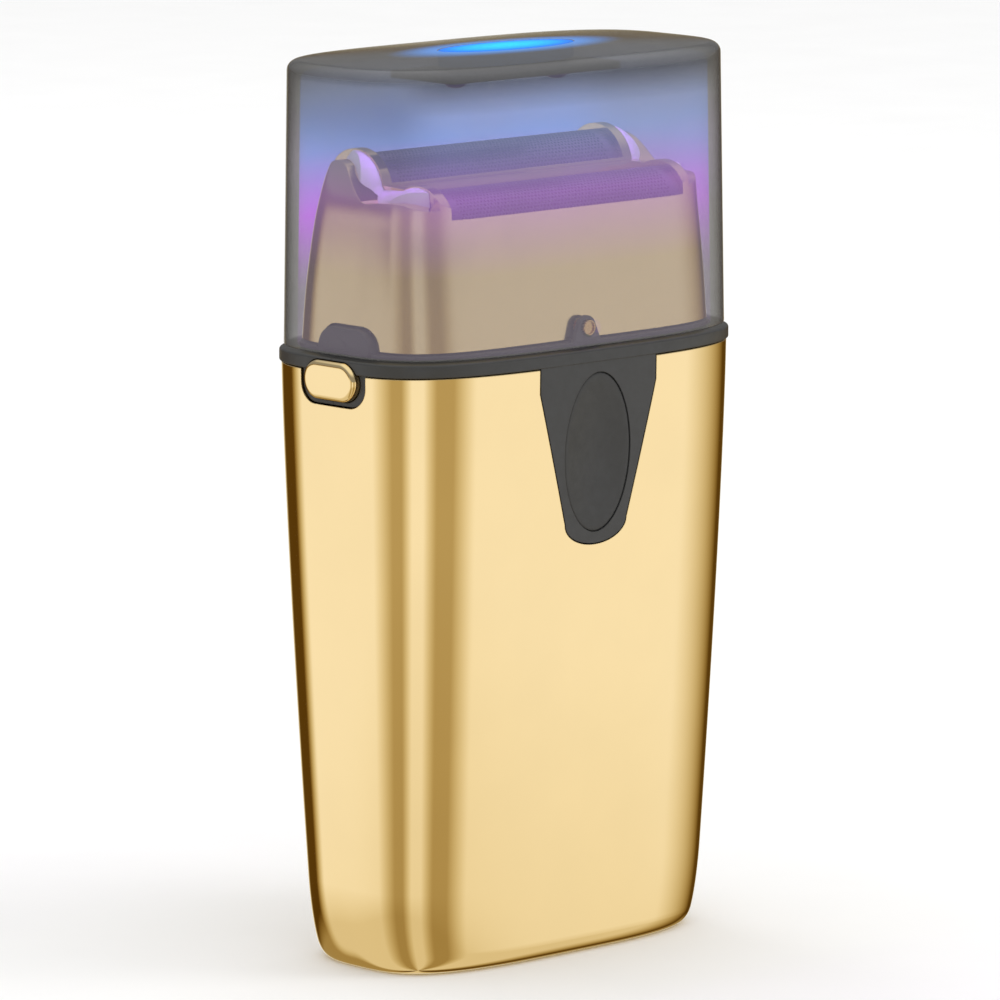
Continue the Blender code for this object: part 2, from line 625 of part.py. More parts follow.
def make_bridge():
    low, high = BRIDGE_SPAN
    outline = superellipse(18.0, 10.5, 5.0, 32, (0.0, -1.0))
    bridge = loft("drive_bridge", [(outline, z) for z in (low, high)], "pale_plastic")
    combine(bridge, rod("pin_hole", BRIDGE_HOLE, low - 1, high + 1))
    for y, z in (FRONT_ARCH, REAR_ARCH):
        for x in (-POST_X, POST_X):
            combine(bridge, rod("post", 1.0, high - 0.1, z - POST_DROP, (x, y), sides=12), "UNION")
    for x in (-16.6, 16.0):
        for y in (-8.0, 6.0):
            combine(bridge, block("flexure_leg", (x, y - 1.5, 82.4), (x + 0.6, y + 1.5, low + 0.1)), "UNION")
    return smooth(bridge)


def make_cutters():
    for name, (y, z) in (("front", FRONT_ARCH), ("rear", REAR_ARCH)):
        bar = block(f"{name}_cutter", (-19.6, y - 2.4, z - 4.4), (19.6, y + 2.4, z - 1.4), "steel")
        outline = [(y + 3.0, z - 1.8)] + arc((y, z), CUTTER_RADIUS, -12, 192, 8) + [(y - 3.0, z - 1.8)]
        for i in range(BLADE_COUNT):
            x = -19.3 + 38.6 * i / (BLADE_COUNT - 1)
            combine(bar, slab(f"{name}_blade", outline, "YZ", x - 0.28, x + 0.28), "UNION")
        for x in (-POST_X, POST_X):
            combine(bar, rod("post_socket", 1.4, z - 6.0, z - 2.4, (x, y), sides=12))
        smooth(bar)
        for side, x in (("left", -POST_X), ("right", POST_X)):
            coil(f"{name}_cutter_spring_{side}", 1.7, 0.4, 4.0, BRIDGE_SPAN[1] + 0.2, z - 4.7,
                 (x, y, 0.0), "Z")


def make_foils():
    for name, (y, z) in (("front", FRONT_ARCH), ("rear", REAR_ARCH)):
        inner = FOIL_RADIUS - FOIL_THICKNESS
        outline = ([(y + FOIL_RADIUS, z - FOIL_SKIRT)] + arc((y, z), FOIL_RADIUS, 0, 180, 18)
                   + [(y - FOIL_RADIUS, z - FOIL_SKIRT), (y - inner, z - FOIL_SKIRT)]
                   + arc((y, z), inner, 180, 0, 18) + [(y + inner, z - FOIL_SKIRT)])
        smooth(slab(f"{name}_foil", outline, "YZ", -FOIL_HALF_LENGTH, FOIL_HALF_LENGTH, "foil_steel"))


# ---------------------------------------------------------------- shaving head

HEAD_LEVELS = (          # z, half width, front face, rear face
    (83.1, 28.3, 14.5, 14.5),
    (88.0, 28.1, 14.1, 14.0),
    (93.0, 27.8, 13.65, 13.3),
    (98.0, 27.4, 13.15, 12.4),
    (101.0, 27.1, 12.95, 11.6),
    (103.5, 26.6, 12.8, 11.0),
    (105.3, 25.9, 12.8, 10.6),
    (106.6, 25.0, 12.8, 10.4),
    (108.0, 23.6, 12.8, 10.3),
)


def head_rings(inset, low=None):
    rings = []
    for z, half, front, rear in HEAD_LEVELS:
        centre = (0.0, (rear - front) / 2)
        rings.append((superellipse(half - inset, (front + rear) / 2 - inset, HEAD_POWER, centre=centre), z))
    if low is not None:
        rings.insert(0, (rings[0][0], low))
    return rings


def arch_outline(radius, low, valley):
    """The stepped double arch seen from the end, with walls well clear of the head down to a level."""
    wall = 20.0
    return ([(-wall, low), (wall, low), (wall, REAR_ARCH[1] - 3.0)]
            + arc(REAR_ARCH, radius, 0, 169, 16) + [valley]
            + arc(FRONT_ARCH, radius, 62, 180, 12) + [(-wall, FRONT_ARCH[1] - 3.0)])


def rib_block(name, grow, low):
    """The space of the rib between the foils, from a level up."""
    return block(name, (-30.0, FRONT_ARCH[0] + SLOT_HALF - grow, low),
                 (30.0, REAR_ARCH[0] - SLOT_HALF + grow, 110.0))


def slot_outline():
    """Room for both foils, leaving the walls and the rib between the foils."""
    front_low, front_high = FRONT_ARCH[0] - SLOT_HALF, FRONT_ARCH[0] + SLOT_HALF
    rear_low, rear_high = REAR_ARCH[0] - SLOT_HALF, REAR_ARCH[0] + SLOT_HALF
    floor = 92.5
    return [(-20.0, 115.0), (-20.0, FRONT_ARCH[1] + WALL_LIP), (front_low, FRONT_ARCH[1] + WALL_LIP),
            (front_low, floor), (front_high, floor), (front_high, RIB_TOP - 0.5),
            (front_high + 0.5, RIB_TOP), (rear_low - 0.5, RIB_TOP), (rear_low, RIB_TOP - 0.5),
            (rear_low, floor), (rear_high, floor), (rear_high, REAR_ARCH[1] + WALL_LIP),
            (20.0, REAR_ARCH[1] + WALL_LIP), (20.0, 115.0)]


def scallop_outline():
    """Everything above the end walls' wavy top edge, outside the arch bands."""
    return [(-20.0, 115.0), (-20.0, 100.3), (-11.9, 100.3), (-9.6, 101.35), (-4.4, 101.45), (-2.7, 101.1),
            (-1.0, 101.6), (0.6, 103.4), (2.4, 105.1), (4.7, 105.75), (7.2, 105.3), (9.2, 103.9),
            (10.8, 102.1), (20.0, 102.1), (20.0, 115.0)]


def make_head():
    shell = loft("head_shell", head_rings(0.0), "gold")
    arches = arch_outline(RIM_RADIUS, 80.0, (-0.9, 102.9))
    combine(shell, slab("arch_form", arches, "YZ", -35.0, 35.0), "INTERSECT")
    cavity = loft("head_cavity", head_rings(HEAD_WALL, low=81.0))
    inner_arches = arch_outline(RIM_RADIUS - 1.2, 79.0, (-1.2, 99.6))
    combine(cavity, slab("cavity_form", inner_arches, "YZ", -35.0, 35.0), "INTERSECT")
    combine(cavity, rib_block("rib_keep", 0.0, 97.5))
    combine(shell, cavity, solver="MANIFOLD")
    combine(shell, slab("foil_slot", slot_outline(), "YZ", -RIM_BAND[0], RIM_BAND[0]), solver="MANIFOLD")
    for side in (-1, 1):
        reach = sorted((side * RIM_BAND[1], side * 35.0))
        combine(shell, slab("scallop", scallop_outline(), "YZ", *reach), solver="MANIFOLD")
        notch = slab("boss_notch", boss_outline(80.0, GAP), "YZ", *sorted((side * 24.0, side * 35.0)))
        combine(shell, notch, solver="MANIFOLD")
    return smooth(shell)


def make_foil_frame():
    """The moulded carrier that holds both foils: two arched end plates, a middle rail and a rear one."""
    radius = RIM_RADIUS - 1.5
    outline = ([(-11.3, 89.0), (11.6, 89.0), (11.6, 94.0), (8.75, 98.0)]
               + arc(REAR_ARCH, radius, 0, 170, 10) + [(-1.9, 97.0)]
               + arc(FRONT_ARCH, radius, 30, 180, 8))
    frame = slab("foil_frame", outline, "YZ", -23.4, -22.0, "pale_plastic")
    combine(frame, slab("frame_end", outline, "YZ", 22.0, 23.4), "UNION")
    for y0, y1, low, top in ((-2.2, -0.4, 93.4, 97.0), (9.3, 10.7, 89.3, 94.5)):
        combine(frame, block("frame_rail", (-22.5, y0, low), (22.5, y1, top)), "UNION")
    combine(frame, loft("frame_room", head_rings(HEAD_WALL + GAP, low=81.0)), "INTERSECT")
    combine(frame, rib_block("rib_room", GAP, 97.2))
    return smooth(frame)


# ---------------------------------------------------------------- cap

def cap_half(z, inset=0.0):
    share = (z - CAP_BOTTOM) / (CAP_TOP - CAP_BOTTOM)
    return [low + (high - low) * share - inset for low, high in zip(CAP_HALF_LOW, CAP_HALF_HIGH)]


def make_cap():
    rings = []
    rim = CAP_TOP - CAP_CROWN
    for z in (CAP_BOTTOM, 92.0, 104.0, rim - CAP_EDGE):
        rings.append((superellipse(*cap_half(z), COLLAR_POWER), z))
    for angle in (30, 60, 90):
        lift = CAP_EDGE * math.sin(math.radians(angle))
        inset = CAP_EDGE * (1 - math.cos(math.radians(angle)))
        z = rim - CAP_EDGE + lift
        rings.append((superellipse(*cap_half(z, inset), COLLAR_POWER), z))
    for share in (0.75, 0.5, 0.25):
        half = [h * share for h in cap_half(rim, CAP_EDGE)]
        rings.append((superellipse(*half, COLLAR_POWER), rim + CAP_CROWN * (1 - share * share)))
    shell = loft("cap_shell", rings, "smoke_clear")
    inner = [(superellipse(*cap_half(z, CAP_WALL), COLLAR_POWER), z)
             for z in (CAP_BOTTOM - 1.0, 92.0, 104.0, 116.3)]
    inner.append((superellipse(*cap_half(CAP_TOP, CAP_WALL + 1.0), COLLAR_POWER), rim - CAP_WALL))
    combine(shell, loft("cap_inside", inner))
    window = superellipse(WINDOW_HALF[0] + 0.25, WINDOW_HALF[1] + 0.25, 2.0, 40)
    combine(shell, slab("window_opening", window, "XY", 116.5, 121.0))
    for name, side in (("front", -1), ("rear", 1)):
        pocket = sorted((side * 15.0, side * 16.85))
        combine(shell, rod("contact_pocket", 1.2, *pocket, centre=(0.0, CONTACT_HEIGHT), axis="Y", sides=20))
        disc = sorted((side * 16.25, side * 16.6))
        rod(f"cap_contact_{name}", 0.9, *disc, centre=(0.0, CONTACT_HEIGHT), axis="Y", sides=20, look="brass")
    smooth(shell)
    lens = superellipse(*WINDOW_HALF, 2.0, 40)
    slab("cap_light_window", lens, "XY", rim - CAP_WALL + 0.1, CAP_TOP - 0.2, "glow_blue")
    block("uv_board", (-15.0, -6.0, 115.9), (15.0, 6.0, 116.9), "pale_plastic")
    for name, x in (("left", -9.0), ("right", 9.0)):
        profile = [(0.0, 115.6), (1.9, 115.6), (1.9, 115.0), (1.4, 115.0), (1.3, 114.2), (0.8, 113.8),
                   (0.0, 113.7)]
        smooth(turned(f"uv_led_{name}", profile, (x, 0.0), "led_lens", 20))


make_housing()
make_collar()
make_base()
make_power_switch()
make_release_buttons()
make_chassis()
make_power()
make_motor()
make_eccentric_shaft()
make_deck()
make_bridge()
make_cutters()
make_foils()
make_head()
make_foil_frame()
make_cap()
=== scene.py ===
"""Looks of the twin-foil shaver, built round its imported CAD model.

Lengths are millimetres and MM turns them into metres. The shaver stands on its base with +Z up, X is
its width and the thumb switch faces -Y. Shapes repeat the CAD's formulas at a finer resolution, with a
few sizes up to 0.8 mm from the CAD's.
"""

import json
import math

import bmesh
import bpy
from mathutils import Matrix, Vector

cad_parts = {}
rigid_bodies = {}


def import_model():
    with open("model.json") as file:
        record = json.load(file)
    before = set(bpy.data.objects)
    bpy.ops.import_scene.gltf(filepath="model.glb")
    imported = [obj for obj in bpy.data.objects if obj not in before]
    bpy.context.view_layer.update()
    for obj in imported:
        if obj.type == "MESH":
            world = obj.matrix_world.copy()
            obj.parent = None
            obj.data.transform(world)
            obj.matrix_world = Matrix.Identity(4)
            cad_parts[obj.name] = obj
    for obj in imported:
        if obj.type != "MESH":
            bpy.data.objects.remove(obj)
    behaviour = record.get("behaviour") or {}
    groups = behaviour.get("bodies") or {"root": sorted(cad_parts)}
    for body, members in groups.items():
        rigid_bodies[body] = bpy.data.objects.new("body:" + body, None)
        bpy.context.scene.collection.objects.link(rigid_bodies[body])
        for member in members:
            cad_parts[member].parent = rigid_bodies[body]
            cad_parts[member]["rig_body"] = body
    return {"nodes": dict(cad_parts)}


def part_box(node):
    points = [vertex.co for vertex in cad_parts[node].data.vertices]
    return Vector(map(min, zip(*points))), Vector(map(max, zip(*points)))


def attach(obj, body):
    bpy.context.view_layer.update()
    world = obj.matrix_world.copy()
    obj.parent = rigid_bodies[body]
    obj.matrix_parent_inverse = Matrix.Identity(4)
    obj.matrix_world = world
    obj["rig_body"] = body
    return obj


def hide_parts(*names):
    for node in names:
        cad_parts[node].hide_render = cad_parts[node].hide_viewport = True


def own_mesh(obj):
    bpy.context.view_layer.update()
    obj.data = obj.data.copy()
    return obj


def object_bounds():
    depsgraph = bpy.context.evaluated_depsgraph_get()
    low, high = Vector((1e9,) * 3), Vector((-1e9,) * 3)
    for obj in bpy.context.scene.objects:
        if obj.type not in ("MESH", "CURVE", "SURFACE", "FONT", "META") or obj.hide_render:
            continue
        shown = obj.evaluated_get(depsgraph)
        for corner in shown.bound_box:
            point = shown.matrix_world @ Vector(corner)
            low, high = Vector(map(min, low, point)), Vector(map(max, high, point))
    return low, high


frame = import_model()
CAD_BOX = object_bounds()

MM = 0.001
GAP = 0.3
FINE = 288                   # corners in a ring of a large shell
SIDES = (("left", -1), ("right", 1))
THROUGH_END = (24.0, 35.0)   # reach of a cutter from inside a shell to beyond it, at an end
THROUGH_FRONT = (-25.0, -8.0)

# Handle
HOUSING_TOP = 79.4
TAPER_TOP = 79.5
TAPER_DEPTH = 77.0
TAPER_POWER = 1.33
TOP_HALF = (31.8, 17.9)
TAPER_LOSS = (3.15, 3.7)
BASE_ROUND_RADIUS = (2.2, 1.9)
BASE_ROUND_HEIGHT = (11.0, 2.3)
HANDLE_POWER = 3.3
HOUSING_WALL = 1.6
FLOOR_TOP = 2.4
FLOOR_OPENING = (22.3, 9.5)

# Collar and the controls in it
COLLAR_HALF = (31.9, 18.0)
COLLAR_BOTTOM = 79.5
COLLAR_SHOULDER = 81.3
COLLAR_TOP = 82.05
LEDGE_HALF = (29.4, 15.7)
COLLAR_BORE = (27.4, 13.7)
SKIRT_HALF = (29.2, 15.4)
SKIRT_BOTTOM = 76.5
COLLAR_POWER = 3.4
PLATE_DEPTH = 2.2
PLATE_TIP = 55.5
PLATE_TIP_HALF = 5.4
PLATE_TIP_TANGENT = 58.4
PLATE_HIP_HALF = 10.3
PLATE_HIP = 76.2
BEZEL_HALF = 5.9
BEZEL_BOTTOM = 75.2
BEZEL_CORNER = 2.6
BEZEL_SINK = 0.35
COLLAR_OVERLAP = 0.9
BOSS_HALF = 5.1
BOSS_TOP = 84.95
BOSS_CENTRE = -0.6
BOSS_CORNER = 2.9
BOSS_REACH = (27.7, 29.3)
TAB_HALF = 2.8
TAB_TIP = 1.55
TAB_FACES = (15.6, 14.8)
CONTACT_HEIGHT = 83.8
SWITCH_HALF = (5.6, 10.3)
SWITCH_CENTRE = 67.6
SWITCH_DISH = 0.7
BUTTON_HALF = (4.75, 2.5)
BUTTON_CENTRE = (-1.0, 78.35)
BUTTON_FACE = 32.5

# Shaving head; each arch is the y, z of a foil's cylinder axis
HEAD_POWER = 4.4
HEAD_WALL = 1.4
FRONT_ARCH = (-7.3, 97.9)
REAR_ARCH = (4.75, 101.8)
ARCHES = (("front", FRONT_ARCH), ("rear", REAR_ARCH))
RIM_RADIUS = 5.5
FOIL_RADIUS = 4.7
FOIL_THICKNESS = 0.12
FOIL_HALF_LENGTH = 20.7
FOIL_SKIRT = 4.6
SLOT_HALF = 4.95
WALL_LIP = 1.4
RIB_TOP = 103.4
# Beyond the rim edge the cradle's pale domed ends show, a painted highlight where the rim bands' ends reflect
# brightly
RIM_EDGE = 22.3               # the gold rim ends here and the pale cradle shows beyond it
CUTTER_RADIUS = 4.15
BLADES = 32
POST_X = 12.0
HEAD_LEVELS = (              # z, half width, front face, rear face
    (82.3, 28.32, 14.53, 14.53),
    (88.0, 28.1, 14.1, 14.0),
    (93.0, 27.8, 13.65, 13.3),
    (98.0, 27.4, 13.15, 12.4),
    (101.0, 27.1, 12.95, 11.6),
    (103.5, 26.6, 12.8, 11.0),
    (105.3, 25.9, 12.8, 10.6),
    (106.6, 25.0, 12.8, 10.4),
    (108.0, 23.6, 12.8, 10.3),
)

# Cap
CAP_BOTTOM = 81.6
CAP_TOP = 119.6
CAP_WALL = 1.6
CAP_HALF_LOW = (31.3, 17.6)
CAP_HALF_HIGH = (31.5, 16.0)
CAP_EDGE = 1.4
CAP_CROWN = 0.6
CAP_RIM = CAP_TOP - CAP_CROWN
WINDOW_HALF = (11.4, 4.6)


# ---------------------------------------------------------------- camera and studio

def make_camera():
    azimuth, elevation = math.radians(42.91), math.radians(9.273)
    distance, shift, aim_height = 1.0174, -0.0008, 0.05912
    back = Vector((-math.sin(azimuth) * math.cos(elevation), -math.cos(azimuth) * math.cos(elevation),
                   math.sin(elevation)))
    right = Vector((math.cos(azimuth), -math.sin(azimuth), 0.0))
    data = bpy.data.cameras.new("camera")
    data.lens = 276.7
    data.sensor_width = 36.0
    data.clip_start = 0.05
    data.clip_end = 50.0
    camera = bpy.data.objects.new("camera", data)
    bpy.context.scene.collection.objects.link(camera)
    camera.location = right * shift + Vector((0.0, 0.0, aim_height)) + back * distance
    camera.rotation_mode = "QUATERNION"
    camera.rotation_quaternion = (-back).to_track_quat("-Z", "Y")
    bpy.context.scene.camera = camera


def add(tree, kind, settings=None, **inputs):
    """Adds a node. An input is named with _ for a space, or iN for the Nth; a socket given is linked."""
    node = tree.nodes.new("ShaderNode" + kind)
    for key, value in (settings or {}).items():
        setattr(node, key, value)
    for key, value in inputs.items():
        if key[0] == "i" and key[1:].isdigit():
            socket = node.inputs[int(key[1:])]
        else:
            socket = node.inputs[key.replace("_", " ")]
        if isinstance(value, bpy.types.NodeSocket):
            tree.links.new(value, socket)
        else:
            socket.default_value = value
    return node


def maths(tree, operation, *values, clamp=False):
    inputs = {f"i{i}": value for i, value in enumerate(values)}
    return add(tree, "Math", {"operation": operation, "use_clamp": clamp}, **inputs).outputs[0]


def ramp(tree, factor, stops):
    """A colour ramp; a stop's value is a grey level or a colour."""
    node = add(tree, "ValToRGB", i0=factor)
    elements = node.color_ramp.elements
    while len(elements) < len(stops):
        elements.new(0.5)
    for element, (position, value) in zip(elements, stops):
        element.position = position
        element.color = (*value, 1.0) if isinstance(value, tuple) else (value, value, value, 1.0)
    return node.outputs[0]


def span(tree, value, low, high, smooth=True):
    """0 at low, 1 at high."""
    settings = {"interpolation_type": "SMOOTHSTEP" if smooth else "LINEAR"}
    return add(tree, "MapRange", settings, Value=value, From_Min=low, From_Max=high).outputs[0]


def fade(tree, value, low, high):
    """1 at low, 0 at high."""
    return maths(tree, "SUBTRACT", 1.0, span(tree, value, low, high))


def blend(tree, factor, first, second):
    """Mixes two numbers; the second is wholly there at 1."""
    return add(tree, "Mix", {"data_type": "FLOAT"}, i0=factor, i2=first, i3=second).outputs[0]


def blend_colours(tree, factor, first, second):
    return add(tree, "Mix", {"data_type": "RGBA"}, i0=factor, i6=first, i7=second).outputs[2]


# The studio that polished gold mirrors: soft boxes, weaker fills and dark flags, by azimuth in degrees (0 is
# the switch side, positive towards +X). On a 15 degree grid, roughly where the photo's gold shows bright and
# dark bands; between them the light changes evenly.
SOFT_BOX, FILL, FLAG = 1.0, 0.5, 0.1
STUDIO = (
    (-180, -165, FLAG), (-150, -105, SOFT_BOX), (-75, -60, FILL), (-45, -30, SOFT_BOX), (-15, 0, FILL),
    (15, 60, SOFT_BOX), (105, 120, FLAG), (135, 150, SOFT_BOX), (165, 180, FLAG),
)
# The two colours of the lamps' painted glow inside the cap
VIOLET, BLUE = (0.6, 0.1, 1.0), (0.15, 0.35, 1.0)


def make_world():
    """White surroundings for sight and soft light; mirrors see the studio's panels instead."""
    world = bpy.data.worlds.new("studio")
    bpy.context.scene.world = world
    world.use_nodes = True
    world.cycles.sampling_method = "NONE"
    tree = world.node_tree
    tree.nodes.clear()
    direction = add(tree, "TexCoord").outputs["Generated"]
    axes = add(tree, "SeparateXYZ", i0=direction).outputs
    azimuth = maths(tree, "ARCTAN2", axes[0], maths(tree, "MULTIPLY", axes[1], -1.0))
    turn = maths(tree, "ADD", maths(tree, "DIVIDE", azimuth, 2 * math.pi), 0.5)
    level = ramp(tree, turn, [((edge + 180) / 360, brightness)
                              for start, end, brightness in STUDIO for edge in (start, end)])
    behind = maths(tree, "MULTIPLY", span(tree, axes[1], 0.1, 0.5), span(tree, axes[2], -0.28, -0.46))
    level = maths(tree, "MAXIMUM", level, maths(tree, "MULTIPLY", behind, FILL))
    far_side = maths(tree, "MULTIPLY", span(tree, axes[1], 0.15, 0.4), span(tree, axes[2], -0.04, 0.06))
    level = blend(tree, far_side, level, 0.15)
    overhead = span(tree, axes[2], 0.45, 0.85)
    level = blend(tree, overhead, level, 0.9)
    level = maths(tree, "MULTIPLY", level, ramp(tree, maths(tree, "MULTIPLY", axes[2], -1.0),
                                                [(0.25, 1.0), (0.4, 0.75)]))
    warm = add(tree, "CombineColor", i0=level, i1=maths(tree, "POWER", level, 1.3),
               i2=maths(tree, "POWER", level, 2.2)).outputs[0]
    warm = blend_colours(tree, span(tree, axes[2], 0.06, 0.12), warm, (0.3, 0.3, 0.3, 1.0))
    warm = blend_colours(tree, overhead, warm, (0.9, 0.9, 0.85, 1.0))
    plain = add(tree, "Background", Color=(1.0, 1.0, 1.0, 1.0), Strength=1.03).outputs[0]
    mirrored = add(tree, "Background", Color=warm, Strength=1.0).outputs[0]
    glossy = add(tree, "LightPath").outputs["Is Glossy Ray"]
    seen = add(tree, "MixShader", i0=glossy, i1=plain, i2=mirrored).outputs[0]
    add(tree, "OutputWorld", Surface=seen)


def area_light(name, spot, aim, size, power, colour=(1.0, 1.0, 1.0)):
    data = bpy.data.lights.new(name, "AREA")
    data.shape = "DISK"
    data.size = size
    data.energy = power
    data.color = colour
    light = bpy.data.objects.new(name, data)
    bpy.context.scene.collection.objects.link(light)
    light.location = spot
    light.rotation_mode = "QUATERNION"
    light.rotation_quaternion = (Vector(aim) - Vector(spot)).to_track_quat("-Z", "Y")
    light.visible_glossy = False
    return light


def make_stage():
    low, high = CAD_BOX
    form = bmesh.new()
    bmesh.ops.create_circle(form, cap_ends=True, segments=96, radius=6.0)
    mesh = bpy.data.meshes.new("floor")
    form.to_mesh(mesh)
    form.free()
    floor = bpy.data.objects.new("floor", mesh)
    bpy.context.scene.collection.objects.link(floor)
    floor.location.z = low.z - 0.0001
    floor.visible_glossy = False
    look, tree, shader = principled("floor_paper", (0.93, 0.93, 0.93), 0.9)
    tone = ramp(tree, noise(tree, 40.0, 3.0), [(0.0, 0.91), (1.0, 0.95)])
    tree.links.new(tone, shader.inputs["Base Color"])
    mesh.materials.append(look)
    middle = Vector((0.0, 0.0, (low.z + high.z) / 2))
    area_light("key", (0.55, -0.65, 0.75), middle, 0.5, 2.0)
    area_light("back", (0.1, 0.9, 0.6), middle, 0.6, 1.0)


# ---------------------------------------------------------------- materials

def principled(name, colour, roughness, metallic=0.0, **inputs):
    material = bpy.data.materials.new(name)
    material.use_nodes = True
    tree = material.node_tree
    shader = tree.nodes["Principled BSDF"]
    shader.inputs["Base Color"].default_value = (*colour, 1.0)
    shader.inputs["Roughness"].default_value = roughness
    shader.inputs["Metallic"].default_value = metallic
    for key, value in inputs.items():
        shader.inputs[key.replace("_", " ")].default_value = value
    return material, tree, shader


def place(tree):
    return add(tree, "TexCoord").outputs["Object"]


def coordinates(tree, kind="Object"):
    """The x, y and z of a point in object space, or of its Normal."""
    return add(tree, "SeparateXYZ", i0=add(tree, "TexCoord").outputs[kind]).outputs


def noise(tree, scale, detail=2.0, stretch=None):
    """Noise in object space; scale is in features a metre."""
    where = place(tree)
    if stretch:
        where = add(tree, "Mapping", Vector=where, Scale=stretch).outputs[0]
    return add(tree, "TexNoise", Vector=where, Scale=scale, Detail=detail).outputs[0]


def mottle(tree, shader, colour, amount, scale):
    """Slight uneven colour."""
    dark = tuple(c * (1 - amount) for c in colour)
    light = tuple(min(c * (1 + amount), 1.0) for c in colour)
    tone = ramp(tree, noise(tree, scale, 3.0), [(0.3, dark), (0.7, light)])
    tree.links.new(tone, shader.inputs["Base Color"])


def vary_roughness(tree, shader, low, high, scale, stretch=None):
    tone = span(tree, noise(tree, scale, 4.0, stretch), 0.3, 0.7, False)
    value = add(tree, "MapRange", Value=tone, To_Min=low, To_Max=high).outputs[0]
    tree.links.new(value, shader.inputs["Roughness"])


def relief(tree, shader, height, depth, round_edge=0.0):
    """Bump of a depth in millimetres, over edges softened by a radius in millimetres."""
    bump = add(tree, "Bump", Height=height, Distance=depth * MM, Strength=1.0)
    if round_edge:
        soft = add(tree, "Bevel", {"samples": 4}, Radius=round_edge * MM)
        tree.links.new(soft.outputs[0], bump.inputs["Normal"])
    tree.links.new(bump.outputs[0], shader.inputs["Normal"])


def gold(name, roughness):
    """Polished gold plating: a mirror with faint lapping marks."""
    colour = (0.95, 0.74, 0.40)
    material, tree, shader = principled(name, colour, roughness, 1.0)
    mottle(tree, shader, colour, 0.012, 90.0)
    vary_roughness(tree, shader, roughness * 0.8, roughness * 1.25, 240.0, (1.0, 1.0, 0.25))
    relief(tree, shader, noise(tree, 260.0, 2.0, (1.0, 1.0, 0.3)), 0.0006, 0.12)
    return material


def moulded(name, colour, roughness, grain=0.004, scale=4200.0, **inputs):
    """Injection-moulded plastic with a fine spark-eroded grain."""
    material, tree, shader = principled(name, colour, roughness, **inputs)
    mottle(tree, shader, colour, 0.05, 220.0)
    vary_roughness(tree, shader, roughness * 0.9, min(roughness * 1.12, 1.0), 900.0)
    relief(tree, shader, noise(tree, scale, 2.0), grain, 0.12)
    return material


def collar_plastic():
    """The black plastic of the collar, with the mould's parting line up the middle of each end."""
    material = moulded("black_moulding", (0.036, 0.036, 0.0365), 0.42)
    tree = material.node_tree
    shader = tree.nodes["Principled BSDF"]
    tone = shader.inputs["Base Color"].links[0].from_socket
    axes = coordinates(tree)
    offset = maths(tree, "ABSOLUTE", maths(tree, "ADD", axes[1], -BUTTON_CENTRE[0] * MM))
    line = fade(tree, offset, 0.00005, 0.00016)
    ends = span(tree, maths(tree, "ABSOLUTE", axes[0]), 0.0268, 0.0272)
    shade = maths(tree, "MULTIPLY", maths(tree, "MULTIPLY", line, ends), 0.6)
    tree.links.new(blend_colours(tree, shade, tone, (0.0, 0.0, 0.0, 1.0)), shader.inputs["Base Color"])
    return material


def brushed(name, colour, roughness, stretch=(1.0, 1.0, 14.0), edge=0.08):
    """Drawn or turned metal with fine lines across the stretched axis."""
    material, tree, shader = principled(name, colour, roughness, 1.0)
    mottle(tree, shader, colour, 0.06, 500.0)
    vary_roughness(tree, shader, roughness * 0.75, roughness * 1.3, 900.0, stretch)
    relief(tree, shader, noise(tree, 1500.0, 3.0, stretch), 0.0012, edge)
    return material


def height_share(tree, low, high):
    """0 to 1 between two heights in millimetres."""
    return span(tree, coordinates(tree)[2], low * MM, high * MM, False)


def by_height(tree, low, high, table):
    """Colour ramps over a range of heights; each row of the table is a height and its values."""
    share = height_share(tree, low, high)
    ramps = []
    for k in range(1, len(table[0])):
        ramps.append(ramp(tree, share, [((row[0] - low) / (high - low), row[k]) for row in table]))
    return ramps


def window_reach(tree):
    """The square of a point's distance out in the light window's oval, 1 at the rim."""
    squares = [maths(tree, "POWER", maths(tree, "DIVIDE", axis, half * MM), 2.0)
               for axis, half in zip(coordinates(tree), WINDOW_HALF)]
    return maths(tree, "ADD", *squares)


